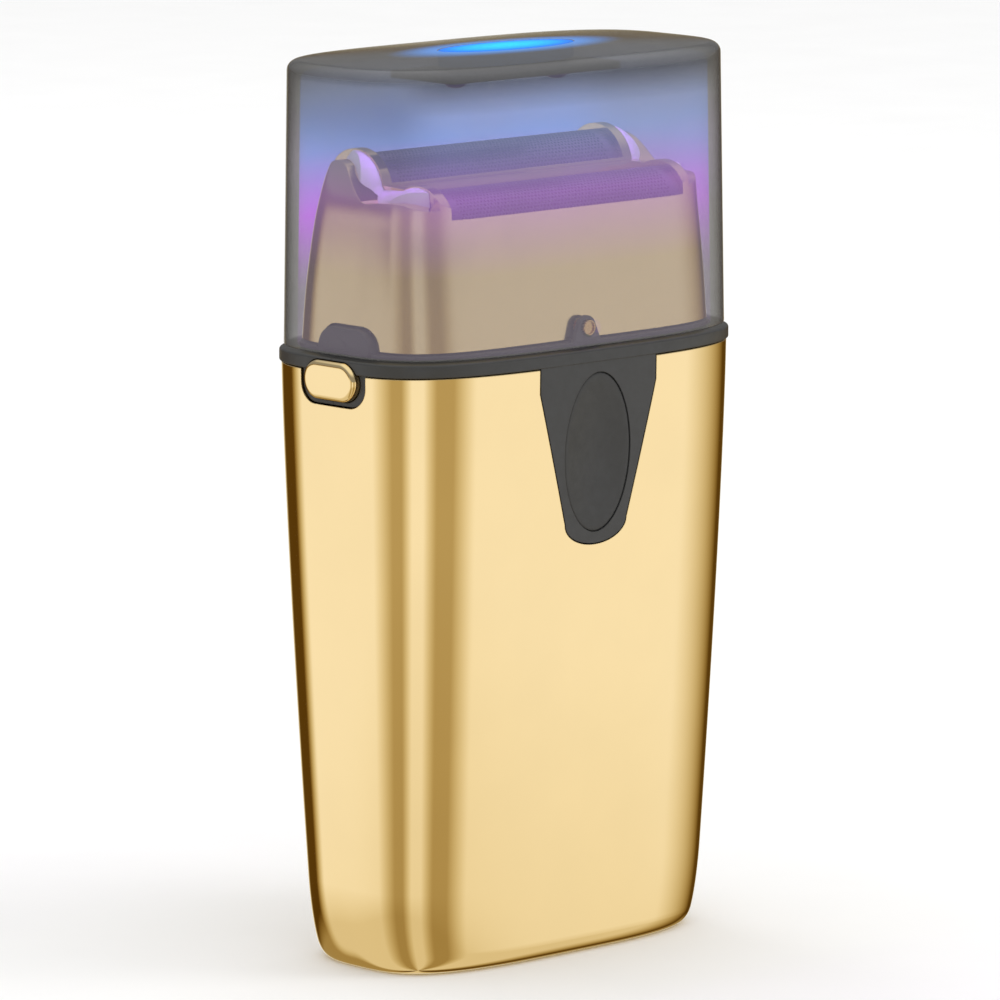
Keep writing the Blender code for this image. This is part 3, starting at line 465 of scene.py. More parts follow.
def smoke():
    """Smoke-grey acrylic: darker where seen at a slant towards its edges, with painted shade in a band below
    its rim and at the top of its narrow ends.
    """
    material, tree, shader = principled("smoke_acrylic", (0.15, 0.15, 0.15), 0.14, IOR=1.2, Alpha=0.6)
    # Painted shade: from 113 to 117 mm the wall turns more opaque and darker below the rim; the top itself is
    # a little lighter
    veil, body = by_height(tree, 80.0, CAP_TOP, [
        (80.0, 0.6, 0.15), (113.0, 0.6, 0.15), (117.0, 0.85, 0.05), (CAP_TOP, 0.85, 0.2)])
    # Painted shade at the top of the narrow ends: faces whose normal points along x, between about 105 and
    # 118 mm, turn more opaque and darker
    across = maths(tree, "ABSOLUTE", coordinates(tree, "Normal")[0])
    z = coordinates(tree)[2]
    high = maths(tree, "MULTIPLY", span(tree, z, 0.105, 0.114), fade(tree, z, 0.1165, 0.118))
    end = maths(tree, "MULTIPLY", span(tree, across, 0.3, 0.8), high)
    veil = blend(tree, end, veil, 0.7)
    body = blend(tree, end, body, 0.08)
    facing = add(tree, "LayerWeight", Blend=0.5).outputs["Facing"]
    edge = span(tree, facing, 0.4, 0.88)
    veil = blend(tree, edge, veil, 0.93)
    body = blend(tree, edge, body, 0.06)
    # Painted glow: blue light around the window, painted as emission on the cap's top
    reach = maths(tree, "SQRT", window_reach(tree))
    painted_glow_halo = maths(tree, "MULTIPLY", fade(tree, reach, 0.9, 1.8), span(tree, z, 0.1187, 0.119))
    shader.inputs["Emission Color"].default_value = (0.02, 0.28, 0.9, 1.0)
    tree.links.new(maths(tree, "MULTIPLY", painted_glow_halo, 0.8), shader.inputs["Emission Strength"])
    speckle = add(tree, "MapRange", Value=noise(tree, 2600.0, 2.0), To_Min=0.93, To_Max=1.07).outputs[0]
    grain = maths(tree, "MULTIPLY", body, speckle)
    grey = add(tree, "CombineColor", i0=grain, i1=maths(tree, "MULTIPLY", grain, 0.985),
               i2=maths(tree, "MULTIPLY", grain, 0.97)).outputs[0]
    tree.links.new(grey, shader.inputs["Base Color"])
    tree.links.new(veil, shader.inputs["Alpha"])
    vary_roughness(tree, shader, 0.12, 0.16, 300.0)
    relief(tree, shader, noise(tree, 160.0, 1.0), 0.0008)
    return material


def lit_inside():
    """The cap's inner faces, with a painted violet and blue glow by height that weakens towards both ends."""
    material, tree, shader = principled("lit_acrylic", (0.03, 0.03, 0.03), 0.5, IOR=1.2, Alpha=0.05)
    far_side = [(88.0, 0.0, VIOLET), (98.0, 0.6, VIOLET), (106.0, 0.5, BLUE), (117.0, 0.0, BLUE)]
    near_side = [(92.0, 0.0, VIOLET), (102.0, 0.3, VIOLET), (110.0, 0.2, BLUE), (117.0, 0.0, BLUE)]
    sides = by_height(tree, 88.0, 117.0, far_side) + by_height(tree, 92.0, 117.0, near_side)
    far_veil, far_glow, near_veil, near_glow = sides
    near = add(tree, "NewGeometry").outputs["Backfacing"]
    # The painted glow fades towards both narrow ends, away from the lamps
    width = maths(tree, "ABSOLUTE", coordinates(tree)[0])
    middle = add(tree, "MapRange", {"interpolation_type": "SMOOTHSTEP"}, Value=width, From_Min=0.0315,
                 From_Max=0.022, To_Min=0.5, To_Max=1.0).outputs[0]
    cloud = add(tree, "MapRange", Value=noise(tree, 60.0, 3.0), From_Min=0.3, From_Max=0.7, To_Min=0.88,
                To_Max=1.1).outputs[0]
    veil = maths(tree, "MULTIPLY", blend(tree, near, far_veil, near_veil), cloud)
    veil = maths(tree, "MULTIPLY", veil, middle)
    tree.links.new(blend_colours(tree, near, far_glow, near_glow), shader.inputs["Emission Color"])
    shader.inputs["Emission Strength"].default_value = 2.0
    tree.links.new(maths(tree, "ADD", veil, 0.03, clamp=True), shader.inputs["Alpha"])
    return material


def foil_metal():
    """Thin electroformed foil: silver, its colour tinted violet as a painted reflection of the lamps' violet
    glow.
    """
    return brushed("foil_nickel", (0.25, 0.18, 0.40), 0.32, (1.0, 6.0, 6.0), 0.0)


def glowing_lens():
    """The lit window: blue, brightest in the middle, over a fine diffuser pattern."""
    material, tree, shader = principled("blue_light", (0.01, 0.1, 0.3), 0.4, IOR=1.2)
    colour = ramp(tree, window_reach(tree), [(0.0, (0.0, 0.62, 1.0)), (0.35, (0.0, 0.42, 1.0)),
                                             (0.75, (0.0, 0.19, 0.86)), (1.0, (0.0, 0.09, 0.5))])
    dots = add(tree, "TexVoronoi", Vector=place(tree), Scale=1500.0).outputs["Distance"]
    strength = add(tree, "MapRange", Value=dots, To_Min=1.15, To_Max=0.85).outputs[0]
    strength = maths(tree, "MULTIPLY", strength, span(tree, coordinates(tree, "Normal")[2], 0.3, 0.8))
    tree.links.new(colour, shader.inputs["Emission Color"])
    tree.links.new(strength, shader.inputs["Emission Strength"])
    return material


def led_resin():
    material, tree, shader = principled("led_resin", (0.2, 0.17, 0.3), 0.12)
    core = ramp(tree, height_share(tree, 113.5, 115.6), [(0.0, (0.35, 0.1, 1.0)), (1.0, (0.12, 0.02, 0.5))])
    tree.links.new(core, shader.inputs["Emission Color"])
    shader.inputs["Emission Strength"].default_value = 0.25
    mottle(tree, shader, (0.2, 0.17, 0.3), 0.05, 800.0)
    return material


def circuit_board():
    """Green solder resist over copper tracks."""
    material, tree, shader = principled("board_resist", (0.02, 0.16, 0.07), 0.35)
    where = add(tree, "Mapping", Vector=place(tree), Rotation=(math.pi / 2, 0, 0)).outputs[0]
    bricks = add(tree, "TexBrick", Vector=where, Color1=(0.02, 0.16, 0.07, 1),
                 Color2=(0.025, 0.2, 0.09, 1), Mortar=(0.05, 0.30, 0.12, 1), Scale=1.0, Mortar_Size=0.0002,
                 Brick_Width=0.004, Row_Height=0.0015)
    tree.links.new(bricks.outputs[0], shader.inputs["Base Color"])
    relief(tree, shader, bricks.outputs[1], 0.01)
    return material


# ---------------------------------------------------------------- mesh helpers

def ring(half_x, half_y, power, count=FINE, centre=(0.0, 0.0)):
    """A superellipse whose corners are spread evenly by direction."""
    points = []
    for i in range(count):
        c, s = math.cos(2 * math.pi * i / count), math.sin(2 * math.pi * i / count)
        reach = (abs(c) ** power + abs(s) ** power) ** (-1 / power)
        points.append((centre[0] + half_x * reach * c, centre[1] + half_y * reach * s))
    return points


def on_side(side, *reach):
    """Distances along an axis, lowest first, on its negative side where side is -1."""
    return sorted(side * distance for distance in reach)


def arc(centre, radius, start, end, steps):
    angles = [math.radians(start + (end - start) * i / steps) for i in range(steps + 1)]
    return [(centre[0] + radius * math.cos(a), centre[1] + radius * math.sin(a)) for a in angles]


def oblong(centre, half_long, half_short, steps=24):
    reach = half_long - half_short
    return (arc((centre[0] + reach, centre[1]), half_short, -90, 90, steps)
            + arc((centre[0] - reach, centre[1]), half_short, 90, 270, steps))


def link(name, mesh, material=None):
    piece = bpy.data.objects.new(name, mesh)
    bpy.context.scene.collection.objects.link(piece)
    if material:
        mesh.materials.append(material)
    return piece


def from_form(name, form, material=None):
    mesh = bpy.data.meshes.new(name)
    bmesh.ops.recalc_face_normals(form, faces=form.faces)
    form.to_mesh(mesh)
    form.free()
    return link(name, mesh, material)


def smooth(piece, degrees=32):
    piece.data.shade_smooth()
    piece.data.set_sharp_from_angle(angle=math.radians(degrees))
    return piece


def skinned(name, rings, material=None, chain=False):
    """Joins rings of 3-D points with quads."""
    form = bmesh.new()
    made = [[form.verts.new(Vector(point) * MM) for point in points] for points in rings]
    pairs = list(zip(made, made[1:]))
    if chain:
        pairs.append((made[-1], made[0]))
    for near, far in pairs:
        for i in range(len(near)):
            j = (i + 1) % len(near)
            form.faces.new((near[i], near[j], far[j], far[i]))
    if not chain:
        form.faces.new(made[0])
        form.faces.new(made[-1])
    return from_form(name, form, material)


def loft(name, rings, material=None, chain=False):
    return skinned(name, [[(x, y, z) for x, y in points] for points, z in rings], material, chain)


def turned(name, profile, centre, material, steps=64):
    """A closed profile of (radius, z) turned about the vertical; a radius of 0 ends on the axis."""
    rings = []
    for radius, z in profile:
        reach = max(radius, 0.004)
        rings.append(([(centre[0] + x, centre[1] + y) for x, y in ring(reach, reach, 2.0, steps)], z))
    return smooth(loft(name, rings, material), 28)


def slab(name, outline, plane, start, end, material=None):
    """A flat outline in the XY, XZ or YZ plane, given thickness along the third axis."""
    order = {"XY": (0, 1, 2), "XZ": (0, 2, 1), "YZ": (2, 0, 1)}[plane]
    rings = [[[(*point, w)[k] for k in order] for point in outline] for w in (start, end)]
    return skinned(name, rings, material)


def block(name, low, high, material=None):
    outline = [(low[0], low[1]), (high[0], low[1]), (high[0], high[1]), (low[0], high[1])]
    return slab(name, outline, "XY", low[2], high[2], material)


def settle(piece):
    """Bakes a piece's modifiers into its mesh."""
    bpy.context.view_layer.update()
    graph = bpy.context.evaluated_depsgraph_get()
    made = bpy.data.meshes.new_from_object(piece.evaluated_get(graph))
    piece.modifiers.clear()
    piece.data = made
    return piece


def combine(target, other, operation="DIFFERENCE"):
    """A Boolean with another object, which is then removed."""
    step = target.modifiers.new("combine", "BOOLEAN")
    step.operation = operation
    step.object = other
    step.solver = "MANIFOLD"
    looks = list(target.data.materials)
    settle(target)
    target.data.materials.clear()
    for look in looks:
        target.data.materials.append(look)
    target.data.polygons.foreach_set("material_index", [0] * len(target.data.polygons))
    bpy.data.objects.remove(other)
    return target


def soften(piece, width, segments=3, degrees=40):
    """Rounds the edges of a plain form."""
    step = piece.modifiers.new("round", "BEVEL")
    step.width = width * MM
    step.segments = segments
    step.limit_method = "ANGLE"
    step.angle_limit = math.radians(degrees)
    return settle(piece)


def shade_by(piece, normal_at, within=0.93):
    """Gives corners on a known surface that surface's own normals, so that mirrors stay clean."""
    mesh = piece.data
    given = []
    for face in mesh.polygons:
        for corner in face.loop_indices:
            normal = normal_at(mesh.vertices[mesh.loops[corner].vertex_index].co / MM)
            if normal is not None and normal.length > 0:
                normal = normal.normalized()
                if normal.dot(face.normal) < -within:
                    normal = -normal
                if normal.dot(face.normal) > within:
                    given.append(normal)
                    continue
            given.append(mesh.corner_normals[corner].vector.copy())
    mesh.normals_split_custom_set(given)
    return piece


def finish_piece(piece, body, nodes):
    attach(piece, body)
    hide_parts(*nodes)
    return piece


# ---------------------------------------------------------------- handle

def handle_half(z, inset=0.0):
    """Half width and half depth of the handle's outside at a height, less an inset."""
    fall = (max(TAPER_TOP - z, 0.0) / TAPER_DEPTH) ** TAPER_POWER
    halves = []
    for top, loss, radius, height in zip(TOP_HALF, TAPER_LOSS, BASE_ROUND_RADIUS, BASE_ROUND_HEIGHT):
        below = min(max((height - z) / height, 0.0), 1.0)
        rounding = radius * (1 - math.sqrt(1 - below * below))
        halves.append(top - loss * fall - rounding - inset)
    return halves


def handle_normal(point):
    """The outward direction of the handle's outside at a point on it."""
    x, y, z = point
    half = handle_half(z)
    step = 0.05
    above, below = handle_half(z + step), handle_half(max(z - step, 0.0))
    slope = [(a - b) / (z + step - max(z - step, 0.0)) for a, b in zip(above, below)]
    across, along = abs(x) / half[0], abs(y) / half[1]
    surface = across ** HANDLE_POWER + along ** HANDLE_POWER
    if abs(surface - 1) > 0.03:
        return None
    normal = Vector((math.copysign(across ** (HANDLE_POWER - 1), x) / half[0],
                     math.copysign(along ** (HANDLE_POWER - 1), y) / half[1], 0.0))
    normal.z = -(across ** HANDLE_POWER * slope[0] / half[0] + along ** HANDLE_POWER * slope[1] / half[1])
    return normal


def plate_outline(grow=0.0):
    """The tapering black plate around the thumb switch, from the collar to its rounded tip."""
    hip, tip = PLATE_HIP_HALF + grow, PLATE_TIP_HALF + grow
    rise = PLATE_TIP_TANGENT - PLATE_TIP
    curve = [(tip * x, PLATE_TIP_TANGENT + (rise + grow) * z) for x, z in arc((0.0, 0.0), 1.0, 180, 360, 40)]
    top = COLLAR_BOTTOM + COLLAR_OVERLAP
    return curve + [(hip, PLATE_HIP), (hip, top), (-hip, top), (-hip, PLATE_HIP)]


def bezel_outline(grow=0.0):
    """The U-shaped black surround of a release button."""
    half, radius = BEZEL_HALF + grow, BEZEL_CORNER + grow
    low = BEZEL_BOTTOM - grow
    top = COLLAR_BOTTOM + COLLAR_OVERLAP
    centre = BUTTON_CENTRE[0]
    return (arc((centre - half + radius, low + radius), radius, 180, 270, 20)
            + arc((centre + half - radius, low + radius), radius, 270, 360, 20)
            + [(centre + half, top), (centre - half, top)])


def make_housing(plating):
    low = [0.0, 0.03]
    low += [BASE_ROUND_HEIGHT[0] * (i / 18) ** 2 for i in range(2, 19)]
    rise = HOUSING_TOP - 0.2 - low[-1]
    outside = [(z, 0.0) for z in low] + [(low[-1] + rise * i / 26, 0.0) for i in range(1, 27)]
    outside += [(HOUSING_TOP - 0.1, 0.02), (HOUSING_TOP - 0.05, 0.05), (HOUSING_TOP, 0.12)]
    rings = [(ring(*handle_half(z, inset), HANDLE_POWER), z) for z, inset in outside]
    inside = [(HOUSING_TOP, HOUSING_WALL), (52.0, HOUSING_WALL), (24.0, HOUSING_WALL), (9.0, HOUSING_WALL),
              (FLOOR_TOP, HOUSING_WALL)]
    rings += [(ring(*handle_half(z, inset), HANDLE_POWER), z) for z, inset in inside]
    rings += [(ring(*FLOOR_OPENING, HANDLE_POWER), z) for z in (FLOOR_TOP, 0.0)]
    housing = loft("gold_housing", rings, plating, chain=True)
    combine(housing, slab("plate_notch", plate_outline(GAP * 0.6), "XZ", *THROUGH_FRONT))
    for side in (-1, 1):
        reach = on_side(side, *THROUGH_END)
        combine(housing, slab("bezel_notch", bezel_outline(GAP * 0.6), "YZ", *reach))
    smooth(housing)
    shade_by(housing, handle_normal)
    finish_piece(housing, "handle", ["body_housing"])


def skin(name, low, high, depth, proud=0.0, levels=24):
    """A closed band that follows the handle's outside."""
    steps = [low + (high - low) * i / levels for i in range(levels + 1)]
    rings = [(ring(*handle_half(z, -proud), HANDLE_POWER), z) for z in steps]
    rings += [(ring(*handle_half(z, depth), HANDLE_POWER), z) for z in (high, low)]
    return loft(name, rings, chain=True)


def rounded_top(half, bottom, top, radius, steps=16):
    return ([(-half, bottom), (half, bottom)]
            + arc((half - radius, top - radius), radius, 0, 90, steps)
            + arc((radius - half, top - radius), radius, 90, 180, steps))


def boss_outline(bottom, grow=0.0):
    """The rounded upstand over a release button, seen from the end."""
    outline = rounded_top(BOSS_HALF + grow, bottom, BOSS_TOP + grow, BOSS_CORNER)
    return [(y + BOSS_CENTRE, z) for y, z in outline]


def rounded_step(half, z, radius, start, steps=4):
    """Rings round a convex edge.

    start is 0 for a wall turning onto a top and -90 for a bottom turning onto a wall.
    """
    rings = []
    for i in range(steps + 1):
        angle = math.radians(start + 90 * i / steps)
        inset = radius * (1 - math.cos(angle))
        height = z + radius * (math.sin(angle) - (1 if start == 0 else -1))
        rings.append(([h - inset for h in half], height))
    return rings


def make_collar(plastic):
    rings = rounded_step(COLLAR_HALF, COLLAR_BOTTOM, 0.25, -90)
    rings += rounded_step(COLLAR_HALF, COLLAR_SHOULDER, 0.45, 0)
    rings += [([h + 0.12 for h in LEDGE_HALF], COLLAR_SHOULDER), (LEDGE_HALF, COLLAR_SHOULDER + 0.12)]
    rings += rounded_step(LEDGE_HALF, COLLAR_TOP, 0.3, 0)
    rings += [([h + 0.15 for h in COLLAR_BORE], COLLAR_TOP), (COLLAR_BORE, COLLAR_TOP - 0.15),
              (COLLAR_BORE, SKIRT_BOTTOM), (SKIRT_HALF, SKIRT_BOTTOM), (SKIRT_HALF, COLLAR_BOTTOM)]
    collar = loft("collar_ring", [(ring(*half, COLLAR_POWER), z) for half, z in rings], plastic, chain=True)
    plate = skin("plate_skin", PLATE_TIP - 1.5, COLLAR_BOTTOM + 0.7, PLATE_DEPTH)
    combine(plate, slab("plate_form", plate_outline(), "XZ", *THROUGH_FRONT), "INTERSECT")
    combine(collar, plate, "UNION")
    for side in (-1, 1):
        reach = on_side(side, *THROUGH_END)
        bezel = skin("bezel_skin", BEZEL_BOTTOM - 1.0, COLLAR_BOTTOM + 0.7, PLATE_DEPTH, -BEZEL_SINK)
        combine(bezel, slab("bezel_form", bezel_outline(), "YZ", *reach), "INTERSECT")
        combine(collar, bezel, "UNION")
        boss = slab("boss", boss_outline(COLLAR_TOP - 0.8), "YZ", *on_side(side, *BOSS_REACH))
        combine(collar, soften(boss, 0.3), "UNION")
        hole = oblong(BUTTON_CENTRE, BUTTON_HALF[0] + 0.25, BUTTON_HALF[1] + 0.2)
        combine(collar, slab("button_hole", hole, "YZ", *reach))
    for side in (-1, 1):
        outline = [(-TAB_HALF, COLLAR_TOP - 0.8), (TAB_HALF, COLLAR_TOP - 0.8)]
        outline += arc((0.0, CONTACT_HEIGHT), TAB_TIP, 15, 165, 32)
        tab = slab("tab", outline, "XZ", *on_side(side, *TAB_FACES))
        combine(collar, soften(tab, 0.15, 2), "UNION")
        hole = ring(1.12, 1.12, 2.0, 40, (0.0, CONTACT_HEIGHT))
        combine(collar, slab("tab_hole", hole, "XZ", *on_side(side, 14.0, 17.0)))
    opening = ring(SWITCH_HALF[0] + GAP, SWITCH_HALF[1] + GAP, 2.0, 96, (0.0, SWITCH_CENTRE))
    combine(collar, slab("switch_opening", opening, "XZ", *THROUGH_FRONT))
    smooth(collar, 35)
    shade_by(collar, handle_normal, 0.97)
    finish_piece(collar, "handle", ["collar"])


def handle_face(x, z, inward):
    """The y of the handle's front surface at a point, moved inward."""
    half_x, half_y = handle_half(z)
    return -half_y * (1 - (abs(x) / half_x) ** HANDLE_POWER) ** (1 / HANDLE_POWER) + inward


def make_switch(rubber):
    """The oval thumb pad: a rounded edge, then a smooth dish."""
    close = 0.26               # the pad stands closer to its opening than the CAD's clearance
    half = [h + close for h in SWITCH_HALF]
    steps = [(1.0, 3.0), (1.0, 0.5), (1.0, 0.3), (0.995, 0.2), (0.985, 0.13), (0.97, 0.1)]
    for i in range(1, 29):
        share = 0.95 * (1 - i / 29)
        steps.append((share, 0.1 + SWITCH_DISH * (1 - (share / 0.95) ** 2) ** 1.3))
    rings = []
    for scale, inward in steps:
        outline = ring(half[0] * scale, half[1] * scale, 2.0, 128, (0.0, SWITCH_CENTRE))
        rings.append([(x, handle_face(x, z, inward), z) for x, z in outline])
    pad = smooth(skinned("thumb_switch", rings, rubber), 50)
    finish_piece(pad, "power_switch", ["power_switch"])


def make_buttons(plating):
    """Gold release buttons with a broad chamfer, on the stem and hook behind them."""
    centre_y, centre_z = BUTTON_CENTRE
    steps = [(0.0, 28.9), (0.0, -0.75), (0.03, -0.55), (0.1, -0.36), (0.2, -0.2), (0.33, -0.09),
             (0.5, -0.03), (0.75, 0.0), (1.3, 0.0), (2.0, 0.0)]
    for name, side in SIDES:
        rings = []
        for inset, face in steps:
            x = face if face > 1 else BUTTON_FACE + face
            outline = oblong(BUTTON_CENTRE, BUTTON_HALF[0] + 0.13 - inset, BUTTON_HALF[1] + 0.1 - inset)
            rings.append([(side * x, y, z) for y, z in outline])
        button = skinned(f"{name}_button", rings, plating)
        low, high = on_side(side, 25.0, 29.3)
        stem = block("stem", (low, centre_y - 2.0, centre_z - 1.6), (high, centre_y + 2.0, centre_z + 1.4))
        combine(button, stem, "UNION")
        low, high = on_side(side, 25.0, 26.2)
        hook = block("hook", (low, centre_y - 1.9, centre_z - 1.5), (high, centre_y + 1.9, 84.3))
        combine(button, soften(hook, 0.15, 2), "UNION")
        finish_piece(smooth(button, 40), f"{name}_release", [f"{name}_release_button"])


def make_base(plastic):
    half = [h - GAP for h in FLOOR_OPENING]
    rings = []
    for grow, z in ((0.0, 2.1), (0.0, 0.7), (-0.06, 0.5), (-0.2, 0.38), (-0.35, 0.35), (-1.2, 0.35),
                    (-1.35, 0.42), (-1.4, 0.6), (-1.6, 0.6)):
        rings.append((ring(half[0] + grow, half[1] + grow, HANDLE_POWER, 160), z))
    cover = loft("base_plate", rings, plastic)
    combine(cover, slab("socket_hole", ring(4.5, 4.5, 2.0, 64), "XY", -1.0, 5.0))
    for x in (-17.0, 17.0):
        combine(cover, slab("screw_hole", ring(1.2, 1.2, 2.0, 32, (x, 0.0)), "XY", -1.0, 5.0))
        combine(cover, slab("screw_sink", ring(2.1, 2.1, 2.0, 40, (x, 0.0)), "XY", -1.0, 1.65))
    finish_piece(smooth(cover), "handle", ["base_cover"])
    profile = [(0.0, 11.5), (4.2, 11.5), (4.2, 0.6), (4.12, 0.42), (3.95, 0.35), (3.0, 0.35), (2.85, 0.42),
               (2.8, 0.6), (2.8, 9.5), (0.8, 9.5), (0.8, 1.35), (0.68, 1.05), (0.4, 0.92), (0.0, 0.9)]
    socket = turned("charging_inlet", profile, (0.0, 0.0), plastic)
    finish_piece(socket, "handle", ["charging_socket"])


# ---------------------------------------------------------------- springs and cutters

def coil(name, radius, wire, turns, start, end, centre, axis, metal, steps=24):
    """A compression spring as a round wire."""
    curve = bpy.data.curves.new(name, "CURVE")
    curve.dimensions = "3D"
    curve.bevel_depth = wire / 2 * MM
    curve.bevel_resolution = 3
    curve.use_fill_caps = True
    spline = curve.splines.new("POLY")
    count = int(turns * steps)
    spline.points.add(count)
    for i, point in enumerate(spline.points):
        angle = 2 * math.pi * i / steps
        along = start + wire / 2 + (end - start - wire) * i / count
        spot = (radius * math.cos(angle), radius * math.sin(angle), along)
        if axis == "X":
            spot = (along, spot[0], spot[1])
        point.co = (*[(s + c) * MM for s, c in zip(spot, centre)], 1.0)
    drawn = bpy.data.objects.new(name, curve)
    bpy.context.scene.collection.objects.link(drawn)
    bpy.context.view_layer.update()
    mesh = bpy.data.meshes.new_from_object(drawn.evaluated_get(bpy.context.evaluated_depsgraph_get()))
    bpy.data.objects.remove(drawn)
    mesh.materials.clear()
    return smooth(link(name, mesh, metal), 60)


def make_springs(metal):
    for name, side in SIDES:
        low, high = on_side(side, 20.9, 24.7)
        centre = (0.0, *BUTTON_CENTRE)
        spring = coil(f"{name}_return_spring", 1.35, 0.4, 4.0, low, high, centre, "X", metal)
        body = frame["nodes"][f"{name}_button_spring"]["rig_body"]
        finish_piece(spring, body, [f"{name}_button_spring"])
        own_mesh(spring)
    for name, (y, _) in ARCHES:
        for side, x in (("left", -POST_X), ("right", POST_X)):
            node = f"{name}_cutter_spring_{side}"
            low, high = (corner.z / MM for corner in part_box(node))
            spring = coil(f"{name}_post_spring_{side}", 1.7, 0.4, 4.0, low, high, (x, y, 0.0), "Z", metal)
            finish_piece(spring, frame["nodes"][node]["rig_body"], [node])
            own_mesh(spring)


def make_cutters(metal):
    """Each cutter is a bar with a row of thin arched blades."""
    for name, (y, z) in ARCHES:
        bar = block(f"{name}_blades", (-19.6, y - 2.4, z - 4.4), (19.6, y + 2.4, z - 1.4), metal)
        soften(bar, 0.25, 2)
        for x in (-POST_X, POST_X):
            combine(bar, slab("socket", ring(1.4, 1.4, 2.0, 32, (x, y)), "XY", z - 6.0, z - 2.4))
        form = bmesh.new()
        form.from_mesh(bar.data)
        outer = arc((y, z), CUTTER_RADIUS, -24, 204, 40)
        inner = arc((y, z), CUTTER_RADIUS - 1.1, 204, -24, 30)
        web = [(y - 1.9, z - 1.6), (y + 1.9, z - 1.6)]
        for i in range(BLADES):
            x = -19.3 + 38.6 * i / (BLADES - 1)
            blade = slab("blade", outer + inner[:1] + web + inner[-1:], "YZ", x - 0.14, x + 0.14)
            form.from_mesh(blade.data)
            bpy.data.objects.remove(blade)
        form.to_mesh(bar.data)
        form.free()
        finish_piece(smooth(bar), f"{name}_cutter", [f"{name}_cutter"])


# ---------------------------------------------------------------- shaving head

def head_at(z):
    """Half width, front face and rear face of the head at a height, on a smooth curve through its levels."""
    levels = HEAD_LEVELS
    if z <= levels[0][0]:
        return levels[0][1:]
    if z >= levels[-1][0]:
        return levels[-1][1:]
    i = max(k for k in range(len(levels) - 1) if levels[k][0] <= z)
    before, start, end, after = (levels[min(max(k, 0), len(levels) - 1)] for k in (i - 1, i, i + 1, i + 2))
    width = end[0] - start[0]
    t = (z - start[0]) / width
    values = []
    for k in (1, 2, 3):
        slope_in = (end[k] - before[k]) / (end[0] - before[0]) * width
        slope_out = (after[k] - start[k]) / (after[0] - start[0]) * width
        values.append((2 * t ** 3 - 3 * t ** 2 + 1) * start[k] + (t ** 3 - 2 * t ** 2 + t) * slope_in
                      + (3 * t ** 2 - 2 * t ** 3) * end[k] + (t ** 3 - t ** 2) * slope_out)
    return values


def head_form(name, inset, low, levels=44, count=FINE):
    rings = []
    top = HEAD_LEVELS[-1][0]
    for i in range(levels + 1):
        z = low + (top - low) * i / levels
        half, front, rear = head_at(z)
        centre = (0.0, (rear - front) / 2)
        rings.append((ring(half - inset, (front + rear) / 2 - inset, HEAD_POWER, count, centre), z))
    return loft(name, rings)


def head_normal(point):
    """The outward direction of the head's walls at a point on them."""
    x, y, z = point
    step = 0.05
    half, front, rear = head_at(z)
    above, below = head_at(z + step), head_at(z - step)
    centre, depth = (rear - front) / 2, (front + rear) / 2
    slope_half = (above[0] - below[0]) / (2 * step)
    slope_depth = ((above[1] + above[2]) - (below[1] + below[2])) / (4 * step)
    slope_centre = ((above[2] - above[1]) - (below[2] - below[1])) / (4 * step)
    across, along = abs(x) / half, abs(y - centre) / depth
    if abs(across ** HEAD_POWER + along ** HEAD_POWER - 1) > 0.03:
        return None
    turn = math.copysign(along ** (HEAD_POWER - 1), y - centre) / depth
    return Vector((math.copysign(across ** (HEAD_POWER - 1), x) / half, turn,
                   -(across ** HEAD_POWER * slope_half / half + along ** HEAD_POWER * slope_depth / depth
                     + turn * slope_centre)))


def arch_outline(radius, low, valley):
    """The stepped double arch seen from the end, with walls well clear of the head down to a level."""
    wall, inset = 20.0, RIM_RADIUS - radius
    rear = [(wall, 84.0), (13.9 - inset, 91.0), (13.3 - inset, 94.0), (12.3 - inset, 97.5),
            (11.2 - inset, 100.0), (10.5 - inset, 101.0)]
    front = [(-12.93 + inset, 96.5), (-13.3 + inset, 94.5), (-13.9 + inset, 92.0), (-wall, 84.0)]
    return ([(-wall, low), (wall, low)] + rear + arc(REAR_ARCH, radius, 0, 169, 72) + [valley]
            + arc(FRONT_ARCH, radius, 62, 180, 56) + front)


def rib_block(name, grow, low):
    return block(name, (-30.0, FRONT_ARCH[0] + SLOT_HALF - grow, low),
                 (30.0, REAR_ARCH[0] - SLOT_HALF + grow, 110.0))


def slot_outline():
    """Room for both foils, leaving the walls and the rib between the foils."""
    front_low, front_high = FRONT_ARCH[0] - FOIL_RADIUS - 0.03, FRONT_ARCH[0] + SLOT_HALF
    rear_low, rear_high = REAR_ARCH[0] - SLOT_HALF, REAR_ARCH[0] + FOIL_RADIUS + 0.03
    floor = 92.5
    rib = arc(((front_high + rear_low) / 2, RIB_TOP - 1.05), (rear_low - front_high) / 2, 165, 15, 10)
    return ([(-20.0, 115.0), (-20.0, FRONT_ARCH[1] + WALL_LIP), (front_low, FRONT_ARCH[1] + WALL_LIP),
             (front_low, floor), (front_high, floor)] + rib
            + [(rear_low, floor), (rear_high, floor), (rear_high, REAR_ARCH[1] + WALL_LIP),
               (20.0, REAR_ARCH[1] + WALL_LIP), (20.0, 115.0)])


def through(points, steps=6):
    """A smooth open curve through a few points."""
    curve = []
    for i in range(len(points) - 1):
        a, b, c, d = (Vector(points[min(max(k, 0), len(points) - 1)]) for k in (i - 1, i, i + 1, i + 2))
        for j in range(steps):
            t = j / steps
            spot = 2 * b + (c - a) * t + (2 * a - 5 * b + 4 * c - d) * t * t
            spot += (3 * b - 3 * c + d - a) * t ** 3
            curve.append(tuple(0.5 * spot))
    return curve + [points[-1]]


def scallop_outline():
    """Everything above the end walls' wavy top edge, outside the arch bands."""
    wave = [(-12.6, 100.4), (-10.4, 100.65), (-8.2, 101.4), (-5.0, 101.35), (-2.0, 101.15), (-0.1, 102.6),
            (1.5, 104.4), (2.9, 105.6), (4.9, 106.0), (7.2, 105.4), (9.2, 103.9), (10.8, 102.1)]
    return [(-20.0, 115.0), (-20.0, 100.4)] + through(wave) + [(20.0, 102.1), (20.0, 115.0)]


